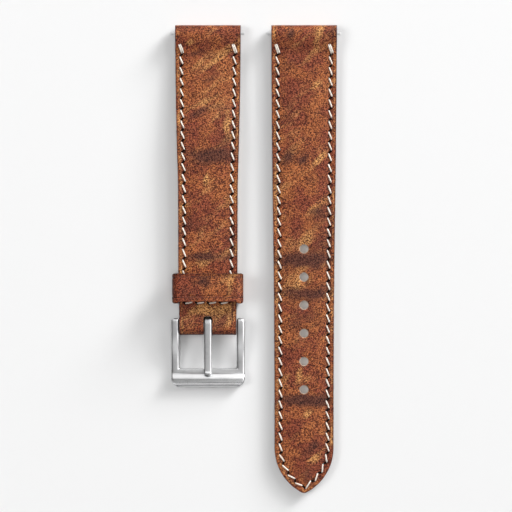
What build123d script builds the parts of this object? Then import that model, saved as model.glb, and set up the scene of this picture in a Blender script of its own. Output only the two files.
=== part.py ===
from build123d import *
import math
import os

# A two-piece leather watch strap with white saddle stitching, laid flat:
# the short half with its keeper and pin buckle on the left, the long half
# with its buckle holes on the right, both with a spring bar at the lug end.
# Millimetres. X runs across the straps, +Y points to the lug ends, +Z is up,
# and the underside of the resting strap is at Z = 0.

# Driving dimensions of the pair
lug_width = 16.0
long_length = 114.4
short_length = 75.7
halves_spacing = 23.5
overrun = 5.0

# Leather stack
upper_thickness = 0.9
filler_thickness = 0.6
tail_filler_thickness = 0.3
lining_thickness = 0.8
glue_line = 0.03
flap_thickness = 0.4
tape_thickness = 0.12
tape_width = 8.0

# Plan shape, with the taper as shares of the length and of the narrowing
buckle_end_width = 13.8
tail_width = 14.4
tip_arc_radius = 12.3
tip_round = 1.6
short_taper_shares = ((0, 0), (0.225, 0.14), (0.40, 0.41), (0.515, 0.64), (0.81, 0.73), (1, 1))
long_taper_shares = ((0, 0), (0.165, 0.12), (0.38, 0.375), (0.51, 0.62), (0.70, 0.875), (1, 1))

# Lug end: a loop of the upper leather round a spring bar
lug_thickness = 3.6
lug_bar_setback = 2.0
lug_swell_length = 8.0
lug_flap_length = 10.0
lining_setback = 3.8
nose_wall = 0.5

# Buckle end: a fold of the upper leather round the buckle bar
fold_overhang = 2.35
fold_rise_length = 5.45
fold_flap_length = 9.4
tongue_slot_width = 2.1
tongue_slot_back = 2.15
tongue_slot_corner = 0.5
lift_run = 26.0

# Buckle holes in the long half
hole_count = 6
hole_diameter = 2.18
hole_spacing = 6.88
last_hole_to_tip = 25.3

# Saddle stitching
thread_diameter = 0.45
stitch_pitch = 2.63
stitch_inset = 1.45
stitch_start = 4.7
leg_spread = 0.39
leg_lead = 0.25
thread_bend = 0.27
thread_clearance = 0.06
thread_sink = 0.03
top_channel_depth = 0.42
bottom_channel_depth = 0.55
channel_spare = 0.1
thread_floor_gap = 0.03
cross_row_setback = 8.0
cross_pitch = 2.9
cross_count = 4
cross_shift = -0.5
cross_stitch_length = 1.9
row_to_cross_gap = 0.25
search_step = 0.000001
crease_inset = 1.1
crease_width = 0.25
crease_depth = 0.12

# Keeper, a free leather ring that slides on the short half
keeper_length = 7.1
keeper_width = 17.3
keeper_wall = 1.1
keeper_leg = 0.9
keeper_float = 0.1
keeper_spare_height = 0.15
keeper_to_fold_end = 7.8
keeper_corner = 1.6
keeper_inner_corner = 0.5
keeper_edge_round = 0.35
keeper_crease_setback = 0.75
keeper_crease_setback_low = 1.5

# Spring bars
bar_tube_diameter = 1.5
bar_tube_bore = 1.3
crimp_bore = 1.16
crimp_length = 0.3
tunnel_clearance = 0.1
pivot_diameter = 0.8
pivot_proud = 0.9
pivot_chamfer = 0.1
collar_diameter = 1.3
collar_length = 0.35
collar_proud = 0.05
stem_diameter = 1.12
guide_diameter = 1.26
guide_length = 0.6
guide_gap = 0.05
tip_travel = 1.0
travel_spare = 0.05
spring_wire = 0.16
spring_bore_gap = 0.05
spring_end_gap = 0.03
spring_turns = 20

# Pin buckle
frame_inner_width = 14.04
arm_width = 1.98
frame_length = 16.85
arm_end_overhang = 1.67
arm_height = 2.5
crossbar_length = 4.45
crossbar_ledge = 1.0
ledge_height = 1.75
crossbar_height = 2.4
crossbar_toe_height = 1.4
frame_corner = 2.2
arm_end_corner = 0.9
window_corner = 0.5
bore_clearance = 0.05
bore_end_gap = 0.1
tongue_width = 1.85
tongue_bore_clearance = 0.07
tongue_ring_wall = 1.0
tongue_thickness = 0.95
tongue_over_crossbar = 1.6
tongue_rest_gap = 0.05

# Sizes that follow from the ones above
frame_width = frame_inner_width + 2 * arm_width
bar_proud_half_width = lug_width / 2 + pivot_proud
short_x = (bar_proud_half_width - frame_width / 2) / -2 - halves_spacing / 2
long_x = short_x + halves_spacing
top_y = long_length / 2
body_thickness = lining_thickness + filler_thickness + upper_thickness + 2 * glue_line
tail_drop = filler_thickness - tail_filler_thickness
tunnel_radius = bar_tube_diameter / 2 + tunnel_clearance
lug_radius = lug_thickness / 2
fold_thickness = 2 * (tunnel_radius + upper_thickness)
fold_radius = fold_thickness / 2
buckle_axis_s = short_length - fold_overhang
lift = keeper_leg + keeper_float
lift_end = lug_swell_length + lift_run
fold_rise_start = buckle_axis_s - fold_rise_length
buckle_axis_z = lift + fold_radius
flap_start = buckle_axis_s - fold_flap_length
lug_half = lug_width / 2
tail_half = tail_width / 2
buckle_half = buckle_end_width / 2
tip_arc_offset = tip_arc_radius - tail_half
tip_reach = math.sqrt(tip_arc_radius**2 - tip_arc_offset**2)
tip_half_angle = math.acos(tip_arc_offset / tip_arc_radius)
tip_cut = tip_round * (1 / math.sin(tip_half_angle) - 1)
side_length = long_length + tip_cut - tip_reach
thread_radius = thread_diameter / 2
hole_radius = thread_radius + thread_clearance
channel_width = 2 * (leg_spread + hole_radius) + channel_spare
cross_channel_width = 2 * hole_radius
cross_row_s = short_length - cross_row_setback
crossbar_start_s = buckle_axis_s - arm_end_overhang + frame_length - crossbar_length
crossbar_end_s = crossbar_start_s + crossbar_length
keeper_end_s = short_length - keeper_to_fold_end
keeper_inner_height = keeper_float + body_thickness + body_thickness - tail_drop + keeper_spare_height
keeper_height = keeper_leg + keeper_inner_height + keeper_wall
tongue_ring_bore = bar_tube_diameter / 2 + tongue_bore_clearance
tongue_ring_radius = tongue_ring_bore + tongue_ring_wall
frame_reach = buckle_half + collar_proud
lug_reach = lug_half + collar_proud

SIDE = Plane(origin=(0, 0, 0), x_dir=(0, -1, 0), z_dir=(-1, 0, 0))


# Side views. They are drawn with s, the distance from the lug end, and height.

def ease(start, end):
    """Two equal tangent arcs from start to end, level at both ends."""
    middle = ((start[0] + end[0]) / 2, (start[1] + end[1]) / 2)
    first = TangentArc([start, middle], tangent=(1, 0))
    second = TangentArc([end, middle], tangent=(-1, 0))
    return [first, second]


def ease_height(s, start, end):
    """Height of the ease curve at the distance s."""
    run = (end[0] - start[0]) / 2
    rise = (end[1] - start[1]) / 2
    radius = (run**2 + rise**2) / (2 * abs(rise))
    near = min(s - start[0], end[0] - s)
    bend = radius - math.sqrt(radius**2 - near**2)
    if s - start[0] < run:
        return start[1] + math.copysign(bend, rise)
    return end[1] - math.copysign(bend, rise)


def closed_below(curves, start, end):
    """Face between a level curve and a line under the whole strap."""
    low_start = (start[0], -overrun)
    low_end = (end[0], -overrun)
    sides = [Line(start, low_start), Line(low_start, low_end), Line(low_end, end)]
    return make_face(list(curves) + sides)


def short_below(height):
    """Side view of all that lies under a level of the short half."""
    start = (0, height)
    rise_from = (lug_swell_length, height)
    rise_to = (lift_end, height + lift)
    end = (short_length, height + lift)
    curves = [Line(start, rise_from)] + ease(rise_from, rise_to) + [Line(rise_to, end)]
    return closed_below(curves, start, end)


def long_below(height, drop):
    """Side view of all that lies under a level of the long half."""
    start = (0, height)
    knee = (lug_swell_length, height)
    end = (long_length, height - drop)
    return closed_below([Line(start, knee), Line(knee, end)], start, end)


def block(s_from, s_to, low, high):
    """Rectangle in side view."""
    return Pos((s_from + s_to) / 2, (low + high) / 2) * Rectangle(s_to - s_from, high - low)


def lug_swell():
    """Side view of the swollen lug end, up to where the body starts."""
    top = (lug_radius, lug_thickness)
    foot = (lug_swell_length, 0)
    shoulder = (lug_swell_length, body_thickness)
    heel = (lug_radius, 0)
    edges = ease(top, shoulder)
    edges += [Line(shoulder, foot), Line(foot, heel)]
    edges.append(ThreePointArc(heel, (0, lug_radius), top))
    return make_face(edges)


def fold_swell():
    """Side view of the buckle fold, from where the top starts to rise."""
    base = (fold_rise_start, lift)
    shoulder = (fold_rise_start, lift + body_thickness)
    crest = (buckle_axis_s, lift + fold_thickness)
    brow = (short_length - fold_radius, lift + fold_thickness)
    heel = (short_length - fold_radius, lift)
    edges = ease(shoulder, crest)
    edges += [Line(crest, brow), Line(heel, base), Line(base, shoulder)]
    edges.append(ThreePointArc(brow, (short_length, lift + fold_radius), heel))
    return make_face(edges)


def short_silhouette():
    """Side view of the whole short half."""
    body = short_below(body_thickness) - short_below(0)
    body &= block(lug_swell_length, fold_rise_start, -overrun, lug_thickness + overrun)
    return body + lug_swell() + fold_swell()


def long_silhouette():
    """Side view of the whole long half."""
    body = long_below(body_thickness, tail_drop) - long_below(0, 0)
    body &= block(lug_swell_length, long_length, -overrun, lug_thickness + overrun)
    return body + lug_swell()


def lug_tunnel():
    """Side view of the spring bar's tunnel."""
    return Pos(lug_bar_setback, lug_radius) * Circle(tunnel_radius)


def fold_tunnel():
    """Side view of the buckle bar's tunnel, longer than it is high."""
    far = short_length - upper_thickness - tunnel_radius
    middle = (buckle_axis_s + far) / 2
    reach = far - buckle_axis_s
    return Pos(middle, buckle_axis_z) * SlotCenterToCenter(reach, 2 * tunnel_radius)


def stack_cavity(silhouette, below_lining, gap, nose_s, end_s):
    """Side view of the room for the filler, less a gap all round."""
    floor_level = below_lining(lining_thickness + gap)
    roof = Pos(0, -upper_thickness - gap) * silhouette
    room = roof - floor_level
    room &= block(nose_s + gap, end_s - gap, -overrun, lug_thickness + overrun)
    flap_top = lining_thickness + glue_line + flap_thickness + gap
    flap = block(0, lug_flap_length + gap, -overrun, flap_top)
    return room - flap


def lining_strip(below, start_s, end_s):
    """Side view of the lining."""
    strip = below(lining_thickness) - below(0)
    return strip & block(start_s, end_s, -overrun, lug_thickness)


def lining_room(below, start_s, end_s):
    """Side view of what the upper leaves free for the lining and its glue."""
    room = below(lining_thickness + glue_line)
    return room & block(start_s - glue_line, end_s + glue_line, -overrun, lug_thickness)


def extruded(side_view):
    """A side view made solid, wider than any piece."""
    return extrude(SIDE * side_view, amount=lug_width, both=True)


# Plan views. They are drawn in X and -s.

def side_curve(half_end, length, shares, inset):
    """Right edge of a strap half, moved inwards by an inset."""
    narrowing = lug_half - half_end
    points = [(lug_half - narrowing * b - inset, -length * a) for a, b in shares]
    return Spline(*points, tangents=[(0, -1), (0, -1)])


def short_side(inset):
    """Right edge of the short half."""
    return side_curve(buckle_half, short_length, short_taper_shares, inset)


def long_side(inset):
    """Right edge of the long half, down to where the tip starts."""
    return side_curve(tail_half, side_length, long_taper_shares, inset)


def tip_arc(inset):
    """Right arc of the pointed tip, down to the centre line."""
    radius = tip_arc_radius - inset
    reach = math.sqrt(radius**2 - tip_arc_offset**2)
    half_turn = math.acos(tip_arc_offset / radius) / 2
    start = (tail_half - inset, -side_length)
    middle_x = radius * math.cos(half_turn) - tip_arc_offset
    middle = (middle_x, -side_length - radius * math.sin(half_turn))
    return ThreePointArc(start, middle, (0, -side_length - reach))


def mirrored(edge):
    """The same edge on the left."""
    return edge.mirror(Plane.YZ)


def short_plan(inset):
    """Plan view of the short half, moved inwards at its sides."""
    right = short_side(inset)
    left = mirrored(right)
    return make_face([right, left, Line(right @ 0, left @ 0), Line(right @ 1, left @ 1)])


def long_plan(inset):
    """Plan view of the long half, moved inwards at its sides and tip."""
    right = long_side(inset)
    arc = tip_arc(inset)
    top = Line(right @ 0, mirrored(right) @ 0)
    return make_face([right, arc, mirrored(arc), mirrored(right), top])


def rounded_long_plan():
    """Plan view of the long half with its tip rounded."""
    face = long_plan(0)
    apex = face.vertices().sort_by(Axis.Y)[0]
    return fillet(apex, tip_round)


def prism(plan_view):
    """A plan view made solid, higher than any piece."""
    return extrude(Plane.XY * plan_view, amount=2 * overrun, both=True)


def plan_block(x_from, x_to, s_from, s_to):
    """Rectangle in plan view."""
    centre = Pos((x_from + x_to) / 2, -(s_from + s_to) / 2)
    return centre * Rectangle(x_to - x_from, s_to - s_from)


def edge_band(plan, middle_inset, width, s_from, s_to):
    """Plan view of a band that follows the edge between two distances."""
    band = plan(middle_inset - width / 2) - plan(middle_inset + width / 2)
    return band & plan_block(-lug_width, lug_width, s_from, s_to)


# Surface heights

def short_base(s):
    """Height of the short half's underside."""
    if s <= lug_swell_length:
        return 0
    if s >= lift_end:
        return lift
    return ease_height(s, (lug_swell_length, 0), (lift_end, lift))


def short_top(s):
    """Height of the short half's upper face."""
    if s < lug_swell_length:
        return ease_height(s, (lug_radius, lug_thickness), (lug_swell_length, body_thickness))
    return short_base(s) + body_thickness


def long_base(s):
    """Height of the long half's underside."""
    return 0


def long_top(s):
    """Height of the long half's upper face."""
    if s < lug_swell_length:
        return ease_height(s, (lug_radius, lug_thickness), (lug_swell_length, body_thickness))
    return body_thickness - tail_drop * (s - lug_swell_length) / (long_length - lug_swell_length)


# Stitching

def distance_where(path, s):
    """Length along a path that starts at the lug end to where it reaches s."""
    low = 0
    high = path.length
    while high - low > search_step:
        middle = (low + high) / 2
        point = path.position_at(middle, position_mode=PositionMode.LENGTH)
        if -point.Y < s:
            low = middle
        else:
            high = middle
    return low


def knots_on(path, start, end):
    """Evenly spaced knots on a path, each a point with its tangent and normal."""
    count = 2 * round((end - start) / stitch_pitch / 2)
    knots = []
    for i in range(count + 1):
        along = start + (end - start) * i / count
        point = path.position_at(along, position_mode=PositionMode.LENGTH)
        before = path.position_at(along - leg_lead, position_mode=PositionMode.LENGTH)
        after = path.position_at(along + leg_lead, position_mode=PositionMode.LENGTH)
        tangent = (after - before).normalized()
        normal = Vector(-tangent.Y, tangent.X)
        knots.append((point, tangent, normal))
    return knots


def leaving(knot):
    """Where the thread of the next stitch stands in a knot's slit."""
    point, tangent, normal = knot
    return point + tangent * leg_lead - normal * leg_spread


def arriving(knot):
    """Where the thread of the last stitch stands in a knot's slit."""
    point, tangent, normal = knot
    return point - tangent * leg_lead + normal * leg_spread


def at_height(point, height):
    """A point of a thread's path over a place in plan."""
    return (point.X, point.Y, height(-point.Y))


def tube_along(points):
    """Thread that follows points with rounded corners."""
    path = FilletPolyline(*points, radius=thread_bend)
    return sweep(Plane(path @ 0, z_dir=path % 0) * Circle(thread_radius), path=path)


def row_threads(knots, base, top):
    """The two threads of a saddle-stitched row, one on the even stitches."""
    def over(s):
        return top(s) - thread_sink

    def under(s):
        return base(s) + thread_floor_gap + thread_radius

    def inside(s):
        return (over(s) + under(s)) / 2

    threads = []
    for first in (0, 1):
        points = [at_height(leaving(knots[first]), inside)]
        for i in range(first, len(knots) - 1, 2):
            points.append(at_height(leaving(knots[i]), over))
            points.append(at_height(arriving(knots[i + 1]), over))
            if i + 2 < len(knots) - 1:
                points.append(at_height(arriving(knots[i + 1]), under))
                points.append(at_height(leaving(knots[i + 2]), under))
            else:
                points.append(at_height(arriving(knots[i + 1]), inside))
        threads.append(tube_along(points))
    return threads


def lock_points(first, second):
    """Both ends of the back stitch that doubles one stitch of a row."""
    start = leaving(first)
    end = arriving(second)
    along = (end - start).normalized()
    aside = Vector(-along.Y, along.X) * (thread_diameter + thread_clearance)
    return start + aside, end + aside


def lock_stitch(first, second, base, top):
    """Short thread beside a row's end stitch, with both ends in the leather."""
    start, end = lock_points(first, second)

    def over(s):
        return top(s) - thread_sink

    def inside(s):
        return (top(s) + base(s)) / 2

    points = [at_height(start, inside), at_height(start, over)]
    points += [at_height(end, over), at_height(end, inside)]
    return tube_along(points)


def slit(knot):
    """Slanted awl slit that holds both threads of a knot."""
    point, tangent, normal = knot
    lean = tangent * leg_lead - normal * leg_spread
    angle = math.degrees(math.atan2(lean.Y, lean.X))
    slot = SlotCenterToCenter(2 * lean.length, 2 * hole_radius)
    return Pos(point.X, point.Y) * Rot(0, 0, angle) * slot


def round_hole(point):
    """Hole of one thread."""
    return Pos(point.X, point.Y) * Circle(hole_radius)


def row_slits(knots, locked):
    """All the slits of a row, and the holes of its back stitches."""
    shapes = [slit(knot) for knot in knots]
    for i in locked:
        shapes += [round_hole(point) for point in lock_points(knots[i], knots[i + 1])]
    return [prism(shape) for shape in shapes]


def lock_groove(knots, i):
    """Plan view of the groove for the back stitch over one stitch."""
    start, end = lock_points(knots[i], knots[i + 1])
    middle = (start + end) * (1 / 2)
    run = end - start
    slot = SlotCenterToCenter(run.length, 2 * hole_radius)
    return Pos(middle.X, middle.Y) * Rot(0, 0, math.degrees(math.atan2(run.Y, run.X))) * slot


def short_row(side):
    """Knots of one edge row of the short half: down the left, up the right."""
    curve = short_side(stitch_inset)
    start = distance_where(curve, stitch_start)
    end = distance_where(curve, cross_row_s - row_to_cross_gap)
    knots = knots_on(curve, start, end)
    if side == "left":
        return [mirror_knot(knot) for knot in knots]
    return [turn_knot(knot) for knot in reversed(knots)]


def short_locks():
    """The sides of the short half, each with its doubled stitch by the lug end."""
    last = len(short_row("right")) - 2
    return (("left", 0), ("right", last))


def mirror_knot(knot):
    """A knot of the right edge carried over to the left edge."""
    point, tangent, normal = knot
    flipped = Vector(-tangent.X, tangent.Y)
    return Vector(-point.X, point.Y), flipped, Vector(-flipped.Y, flipped.X)


def turn_knot(knot):
    """A knot passed in the other direction."""
    point, tangent, normal = knot
    return point, tangent * -1, normal * -1


def long_row():
    """Knots of the long half's one row: down the left, round the tip, up the right."""
    right = long_side(stitch_inset)
    arc = tip_arc(stitch_inset)
    path = Wire([mirrored(right), mirrored(arc), arc, right])
    if (path @ 0).X > 0:
        path = Wire(list(reversed(path.edges())))
    start = distance_where(mirrored(right), stitch_start)
    return knots_on(path, start, path.length - start)


def cross_places():
    """Both ends of each stitch across the short half, in plan."""
    first = cross_shift - cross_pitch * (cross_count - 1) / 2
    places = []
    for i in range(cross_count):
        centre = first + cross_pitch * i
        reach = cross_stitch_length / 2
        places.append((Vector(centre - reach, -cross_row_s), Vector(centre + reach, -cross_row_s)))
    return places


def cross_thread():
    """The thread of the cross row, over and under by turns."""
    def over(s):
        return short_top(s) - thread_sink

    def under(s):
        return short_base(s) + thread_floor_gap + thread_radius

    def inside(s):
        return (over(s) + under(s)) / 2

    places = cross_places()
    points = [at_height(places[0][0], inside)]
    for i, (start, end) in enumerate(places):
        points += [at_height(start, over), at_height(end, over)]
        if i + 1 < len(places):
            points += [at_height(end, under), at_height(places[i + 1][0], under)]
    points.append(at_height(places[-1][1], inside))
    return tube_along(points)


def skin_cut(silhouette, depth, band):
    """What a groove of one depth takes from the upper face."""
    shell = silhouette - Pos(0, -depth) * silhouette
    return extruded(shell) & prism(band)


def base_cut(below, depth, band):
    """What a groove of one depth takes from the underside."""
    return extruded(below(depth)) & prism(band)


def only_solid(shape):
    """The one solid that a shape holds."""
    return shape.solids().sort_by(SortBy.VOLUME)[-1]


# Halves

def tape_strip(below, height, gap, s_from, s_to):
    """Reinforcement tape under the filler, or with a gap its groove."""
    strip = below(height + tape_thickness + gap) - below(height - gap)
    strip &= block(s_from - gap, s_to + gap, -overrun, lug_thickness)
    plan = plan_block(-tape_width / 2 - gap, tape_width / 2 + gap, 0, long_length)
    return extruded(strip) & prism(plan)


def tongue_slot():
    """Slot for the tongue, open at the fold's end."""
    back = buckle_axis_s - tongue_slot_back
    half = tongue_slot_width / 2
    opening = plan_block(-half, half, back, short_length + overrun)
    back_corners = opening.vertices().sort_by(Axis.Y)[-2:]
    return prism(fillet(back_corners, tongue_slot_corner))


def short_half():
    """Upper, lining, filler and tape of the short half."""
    silhouette = short_silhouette()
    plan = prism(short_plan(0))
    nose = lug_bar_setback + tunnel_radius + nose_wall
    filler_end = buckle_axis_s - tunnel_radius - upper_thickness
    slits = [prism(round_hole(point)) for pair in cross_places() for point in pair]
    rows = edge_band(short_plan, stitch_inset, channel_width, stitch_start - leg_lead, cross_row_s)
    for side, i in short_locks():
        knots = short_row(side)
        slits += row_slits(knots, [i])
        rows += lock_groove(knots, i)
    cross_half = cross_channel_width / 2
    cross_left = cross_places()[0][0].X - cross_half
    cross_right = cross_places()[-1][1].X + cross_half
    rows += plan_block(cross_left, cross_right, cross_row_s - cross_half, cross_row_s + cross_half)
    creases = edge_band(short_plan, crease_inset, crease_width, cross_row_s + cross_half, buckle_axis_s)

    upper = silhouette - lug_tunnel() - fold_tunnel()
    upper -= stack_cavity(silhouette, short_below, 0, nose, filler_end)
    upper -= lining_room(short_below, lining_setback, flap_start)
    upper = extruded(upper) & plan
    upper -= [skin_cut(silhouette, top_channel_depth, rows), skin_cut(silhouette, crease_depth, creases)]
    upper -= [base_cut(short_below, bottom_channel_depth, rows), tongue_slot()]
    upper = only_solid(upper.cut(*slits))

    lining = extruded(lining_strip(short_below, lining_setback, flap_start)) & plan
    lining -= base_cut(short_below, bottom_channel_depth, rows)
    lining = only_solid(lining.cut(*slits))

    filler = extruded(stack_cavity(silhouette, short_below, glue_line, nose, filler_end)) & plan
    tape_level = lining_thickness + glue_line
    tape_from = lug_flap_length + 2 * glue_line
    groove = tape_strip(short_below, tape_level, glue_line, tape_from, flap_start)
    filler = only_solid((filler - groove - tongue_slot()).cut(*slits))
    tape = only_solid(tape_strip(short_below, tape_level, 0, tape_from, flap_start))
    return upper, lining, filler, tape


def long_half():
    """Upper, lining, filler and tape of the long half."""
    silhouette = long_silhouette()
    plan = prism(rounded_long_plan())
    nose = lug_bar_setback + tunnel_radius + nose_wall
    knots = long_row()
    locks = [0, len(knots) - 2]
    slits = row_slits(knots, locks)
    rows = edge_band(long_plan, stitch_inset, channel_width, stitch_start - leg_lead, long_length)
    rows += [lock_groove(knots, i) for i in locks]
    holes = [prism(Pos(0, -s) * Circle(hole_diameter / 2)) for s in hole_places()]

    def below(height):
        return long_below(height, 0)

    upper = silhouette - lug_tunnel()
    upper -= stack_cavity(silhouette, below, 0, nose, long_length + overrun)
    upper -= lining_room(below, lining_setback, long_length + overrun)
    upper = extruded(upper) & plan
    upper -= [skin_cut(silhouette, top_channel_depth, rows), base_cut(below, bottom_channel_depth, rows)]
    upper = only_solid(upper.cut(*slits, *holes))

    lining = extruded(lining_strip(below, lining_setback, long_length + overrun)) & plan
    lining -= base_cut(below, bottom_channel_depth, rows)
    lining = only_solid(lining.cut(*slits, *holes))

    filler = extruded(stack_cavity(silhouette, below, glue_line, nose, long_length + overrun)) & plan
    tape_level = lining_thickness + glue_line
    tape_from = lug_flap_length + 2 * glue_line
    groove = tape_strip(below, tape_level, glue_line, tape_from, side_length)
    filler = only_solid((filler - groove).cut(*slits, *holes))
    tape = only_solid(tape_strip(below, tape_level, 0, tape_from, side_length).cut(*holes))
    return upper, lining, filler, tape


def hole_places():
    """Distances of the buckle holes from the lug end."""
    last = long_length - last_hole_to_tip
    return [last - hole_spacing * i for i in range(hole_count)]


# Keeper

def keeper():
    """Leather ring round the short half, creased along both edges."""
    middle = (0, keeper_height / 2)
    outer = Pos(*middle) * RectangleRounded(keeper_width, keeper_height, keeper_corner)
    inner_width = keeper_width - 2 * keeper_wall
    inner_middle = keeper_leg + keeper_inner_height / 2
    inner = Pos(0, inner_middle) * RectangleRounded(inner_width, keeper_inner_height, keeper_inner_corner)
    end_plane = Plane(origin=(0, -keeper_end_s, 0), x_dir=(1, 0, 0), z_dir=(0, -1, 0))
    ring = extrude(end_plane * (outer - inner), amount=-keeper_length)
    rims = ring.edges().filter_by(lambda edge: abs(edge.center().X) > inner_width / 2)
    rims = rims.filter_by(GeomType.LINE).filter_by(Axis.Z)
    ring = fillet(rims, keeper_edge_round)
    low = keeper_end_s - keeper_crease_setback_low
    high = keeper_end_s - keeper_length + keeper_crease_setback
    top_skin = Pos(0, 0, keeper_height) * Box(inner_width, keeper_length * 2, 2 * crease_depth)
    for s in (low, high):
        line = plan_block(-inner_width / 2, inner_width / 2, s - crease_width / 2, s + crease_width / 2)
        skin = Pos(0, -s, 0) * top_skin
        ring -= prism(line) & skin
    return only_solid(ring)


# Spring bars, drawn with their axis on X and moved to their seats

def rod(x_from, x_to, diameter):
    """Round bar along X."""
    turned = Plane(origin=(x_from, 0, 0), z_dir=(1, 0, 0))
    return extrude(turned * Circle(diameter / 2), amount=x_to - x_from)


def tube_end(reach):
    """Where the tube ends, so that the tip has its travel."""
    return reach - collar_length - tip_travel - travel_spare


def bar_tube(reach):
    """Tube with both ends crimped in over the tips' guides."""
    end = tube_end(reach)
    outside = rod(-end, end, bar_tube_diameter)
    bore = rod(-end + crimp_length, end - crimp_length, bar_tube_bore)
    return only_solid(outside - bore - rod(-end, end, crimp_bore))


def guide_face(reach):
    """Inner face of a tip's guide, against which the spring stands."""
    return tube_end(reach) - crimp_length - guide_gap - guide_length


def bar_tip(reach, pivot_length, side):
    """Tip with its pivot, collar, stem and inner guide."""
    inner = guide_face(reach)
    collar_inner = reach - collar_length
    tip = rod(inner, inner + guide_length, guide_diameter)
    tip += rod(inner, collar_inner, stem_diameter)
    tip += rod(collar_inner, reach, collar_diameter)
    pivot = rod(reach, reach + pivot_length, pivot_diameter)
    rim = pivot.edges().sort_by(Axis.X)[-1]
    pivot = chamfer(rim, pivot_chamfer)
    tip = only_solid(tip + pivot)
    if side == "left":
        tip = tip.mirror(Plane.YZ)
    return tip


def bar_spring(reach):
    """Compression spring between the two guides."""
    length = 2 * (guide_face(reach) - spring_end_gap) - spring_wire
    radius = bar_tube_bore / 2 - spring_bore_gap - spring_wire / 2
    coil = Helix(pitch=length / spring_turns, height=length, radius=radius)
    wire = sweep(Plane(coil @ 0, z_dir=coil % 0) * Circle(spring_wire / 2), path=coil, is_frenet=True)
    return Rot(0, 90, 0) * Pos(0, 0, -length / 2) * wire


def spring_bar(reach, pivot_length, place):
    """All four pieces of a spring bar at its seat."""
    pieces = {
        "tube": bar_tube(reach),
        "spring": bar_spring(reach),
        "tip_left": bar_tip(reach, pivot_length, "left"),
        "tip_right": bar_tip(reach, pivot_length, "right"),
    }
    return {name: place * piece for name, piece in pieces.items()}


# Buckle

def arm_side_view():
    """Side view of the arms: a round eye that sweeps down to the crossbar."""
    half = arm_height / 2
    eye_s = buckle_axis_s
    high = (eye_s, buckle_axis_z + half)
    low = (eye_s, buckle_axis_z - half)
    end_high = (crossbar_start_s + crossbar_ledge, ledge_height)
    end_low = (crossbar_start_s + crossbar_ledge, 0)
    arm = make_face(ease(high, end_high) + [Line(end_high, end_low)] + ease(low, end_low) + [Line(low, high)])
    back = eye_s - arm_end_overhang
    return arm + block(back, eye_s, low[1], high[1])


def crossbar_crown():
    """Rounded top of the crossbar, from its ledge over the crest to its toe."""
    ledge_end = (crossbar_start_s + crossbar_ledge, ledge_height)
    crest = ((ledge_end[0] + crossbar_end_s) / 2, crossbar_height)
    toe = (crossbar_end_s, crossbar_toe_height)
    return ThreePointArc(ledge_end, crest, toe)


def crossbar_side_view():
    """Side view of the crossbar: a level ledge, then its rounded top."""
    crown = crossbar_crown()
    ledge_start = (crossbar_start_s, ledge_height)
    heel = (crossbar_end_s, 0)
    foot = (crossbar_start_s, 0)
    edges = [Line(foot, ledge_start), Line(ledge_start, crown @ 0), crown]
    return make_face(edges + [Line(crown @ 1, heel), Line(heel, foot)])


def crossbar_top(s):
    """Height of the crossbar's rounded top at the distance s."""
    crown = crossbar_crown()
    centre = crown.arc_center
    return centre.Y + math.sqrt(crown.radius**2 - (s - centre.X) ** 2)


def frame_plan():
    """Plan views of the frame, round at its outer corners, and of its window."""
    back = buckle_axis_s - arm_end_overhang
    half = frame_width / 2
    outer = plan_block(-half, half, back, crossbar_end_s)
    corners = outer.vertices().sort_by(Axis.Y)
    outer = fillet(corners[0:2], frame_corner)
    arm_corners = outer.vertices().sort_by(Axis.Y)[-2:]
    outer = fillet(arm_corners, arm_end_corner)
    inner_half = frame_inner_width / 2
    window = plan_block(-inner_half, inner_half, back - overrun, crossbar_start_s)
    window = fillet(window.vertices().sort_by(Axis.Y)[0:2], window_corner)
    return outer, window


def buckle_frame():
    """The frame with a blind bore for each tip of its bar."""
    outer, window = frame_plan()
    inner_half = frame_inner_width / 2
    between_arms = plan_block(-inner_half, inner_half, crossbar_start_s, crossbar_end_s)
    arms = extruded(arm_side_view()) & prism(outer - window - between_arms)
    crossbar = extruded(crossbar_side_view()) & prism(outer)
    frame = arms + crossbar
    depth = frame_reach + buckle_pivot_length() + bore_end_gap
    bore = rod(-depth, depth, pivot_diameter + 2 * bore_clearance)
    return only_solid(frame - Pos(0, -buckle_axis_s, buckle_axis_z) * bore)


def buckle_pivot_length():
    """Length of the buckle bar's pivots, from the collar into the arm."""
    return frame_inner_width / 2 - frame_reach + pivot_proud


def buckle_tongue():
    """Tongue: a ring round the bar and a prong that ends on the crossbar."""
    end_s = crossbar_start_s + tongue_over_crossbar
    rest_z = crossbar_top(end_s) + tongue_rest_gap
    crest = (buckle_axis_s, buckle_axis_z + tongue_ring_radius)
    root = (buckle_axis_s, crest[1] - tongue_thickness)
    tip_high = (end_s, rest_z + tongue_thickness)
    tip_low = (end_s, rest_z)
    prong = make_face([Line(crest, tip_high), Line(tip_high, tip_low), Line(tip_low, root), Line(root, crest)])
    ring = Pos(buckle_axis_s, buckle_axis_z) * Circle(tongue_ring_radius)
    bore = Pos(buckle_axis_s, buckle_axis_z) * Circle(tongue_ring_bore)
    half = tongue_width / 2
    tongue = extrude(SIDE * (ring + prong - bore), amount=half, both=True)
    plan = plan_block(-half, half, buckle_axis_s - 2 * tongue_ring_radius, end_s - half)
    plan += Pos(0, half - end_s) * Circle(half)
    return only_solid(tongue & prism(plan))


# All the pieces, by node

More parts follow.
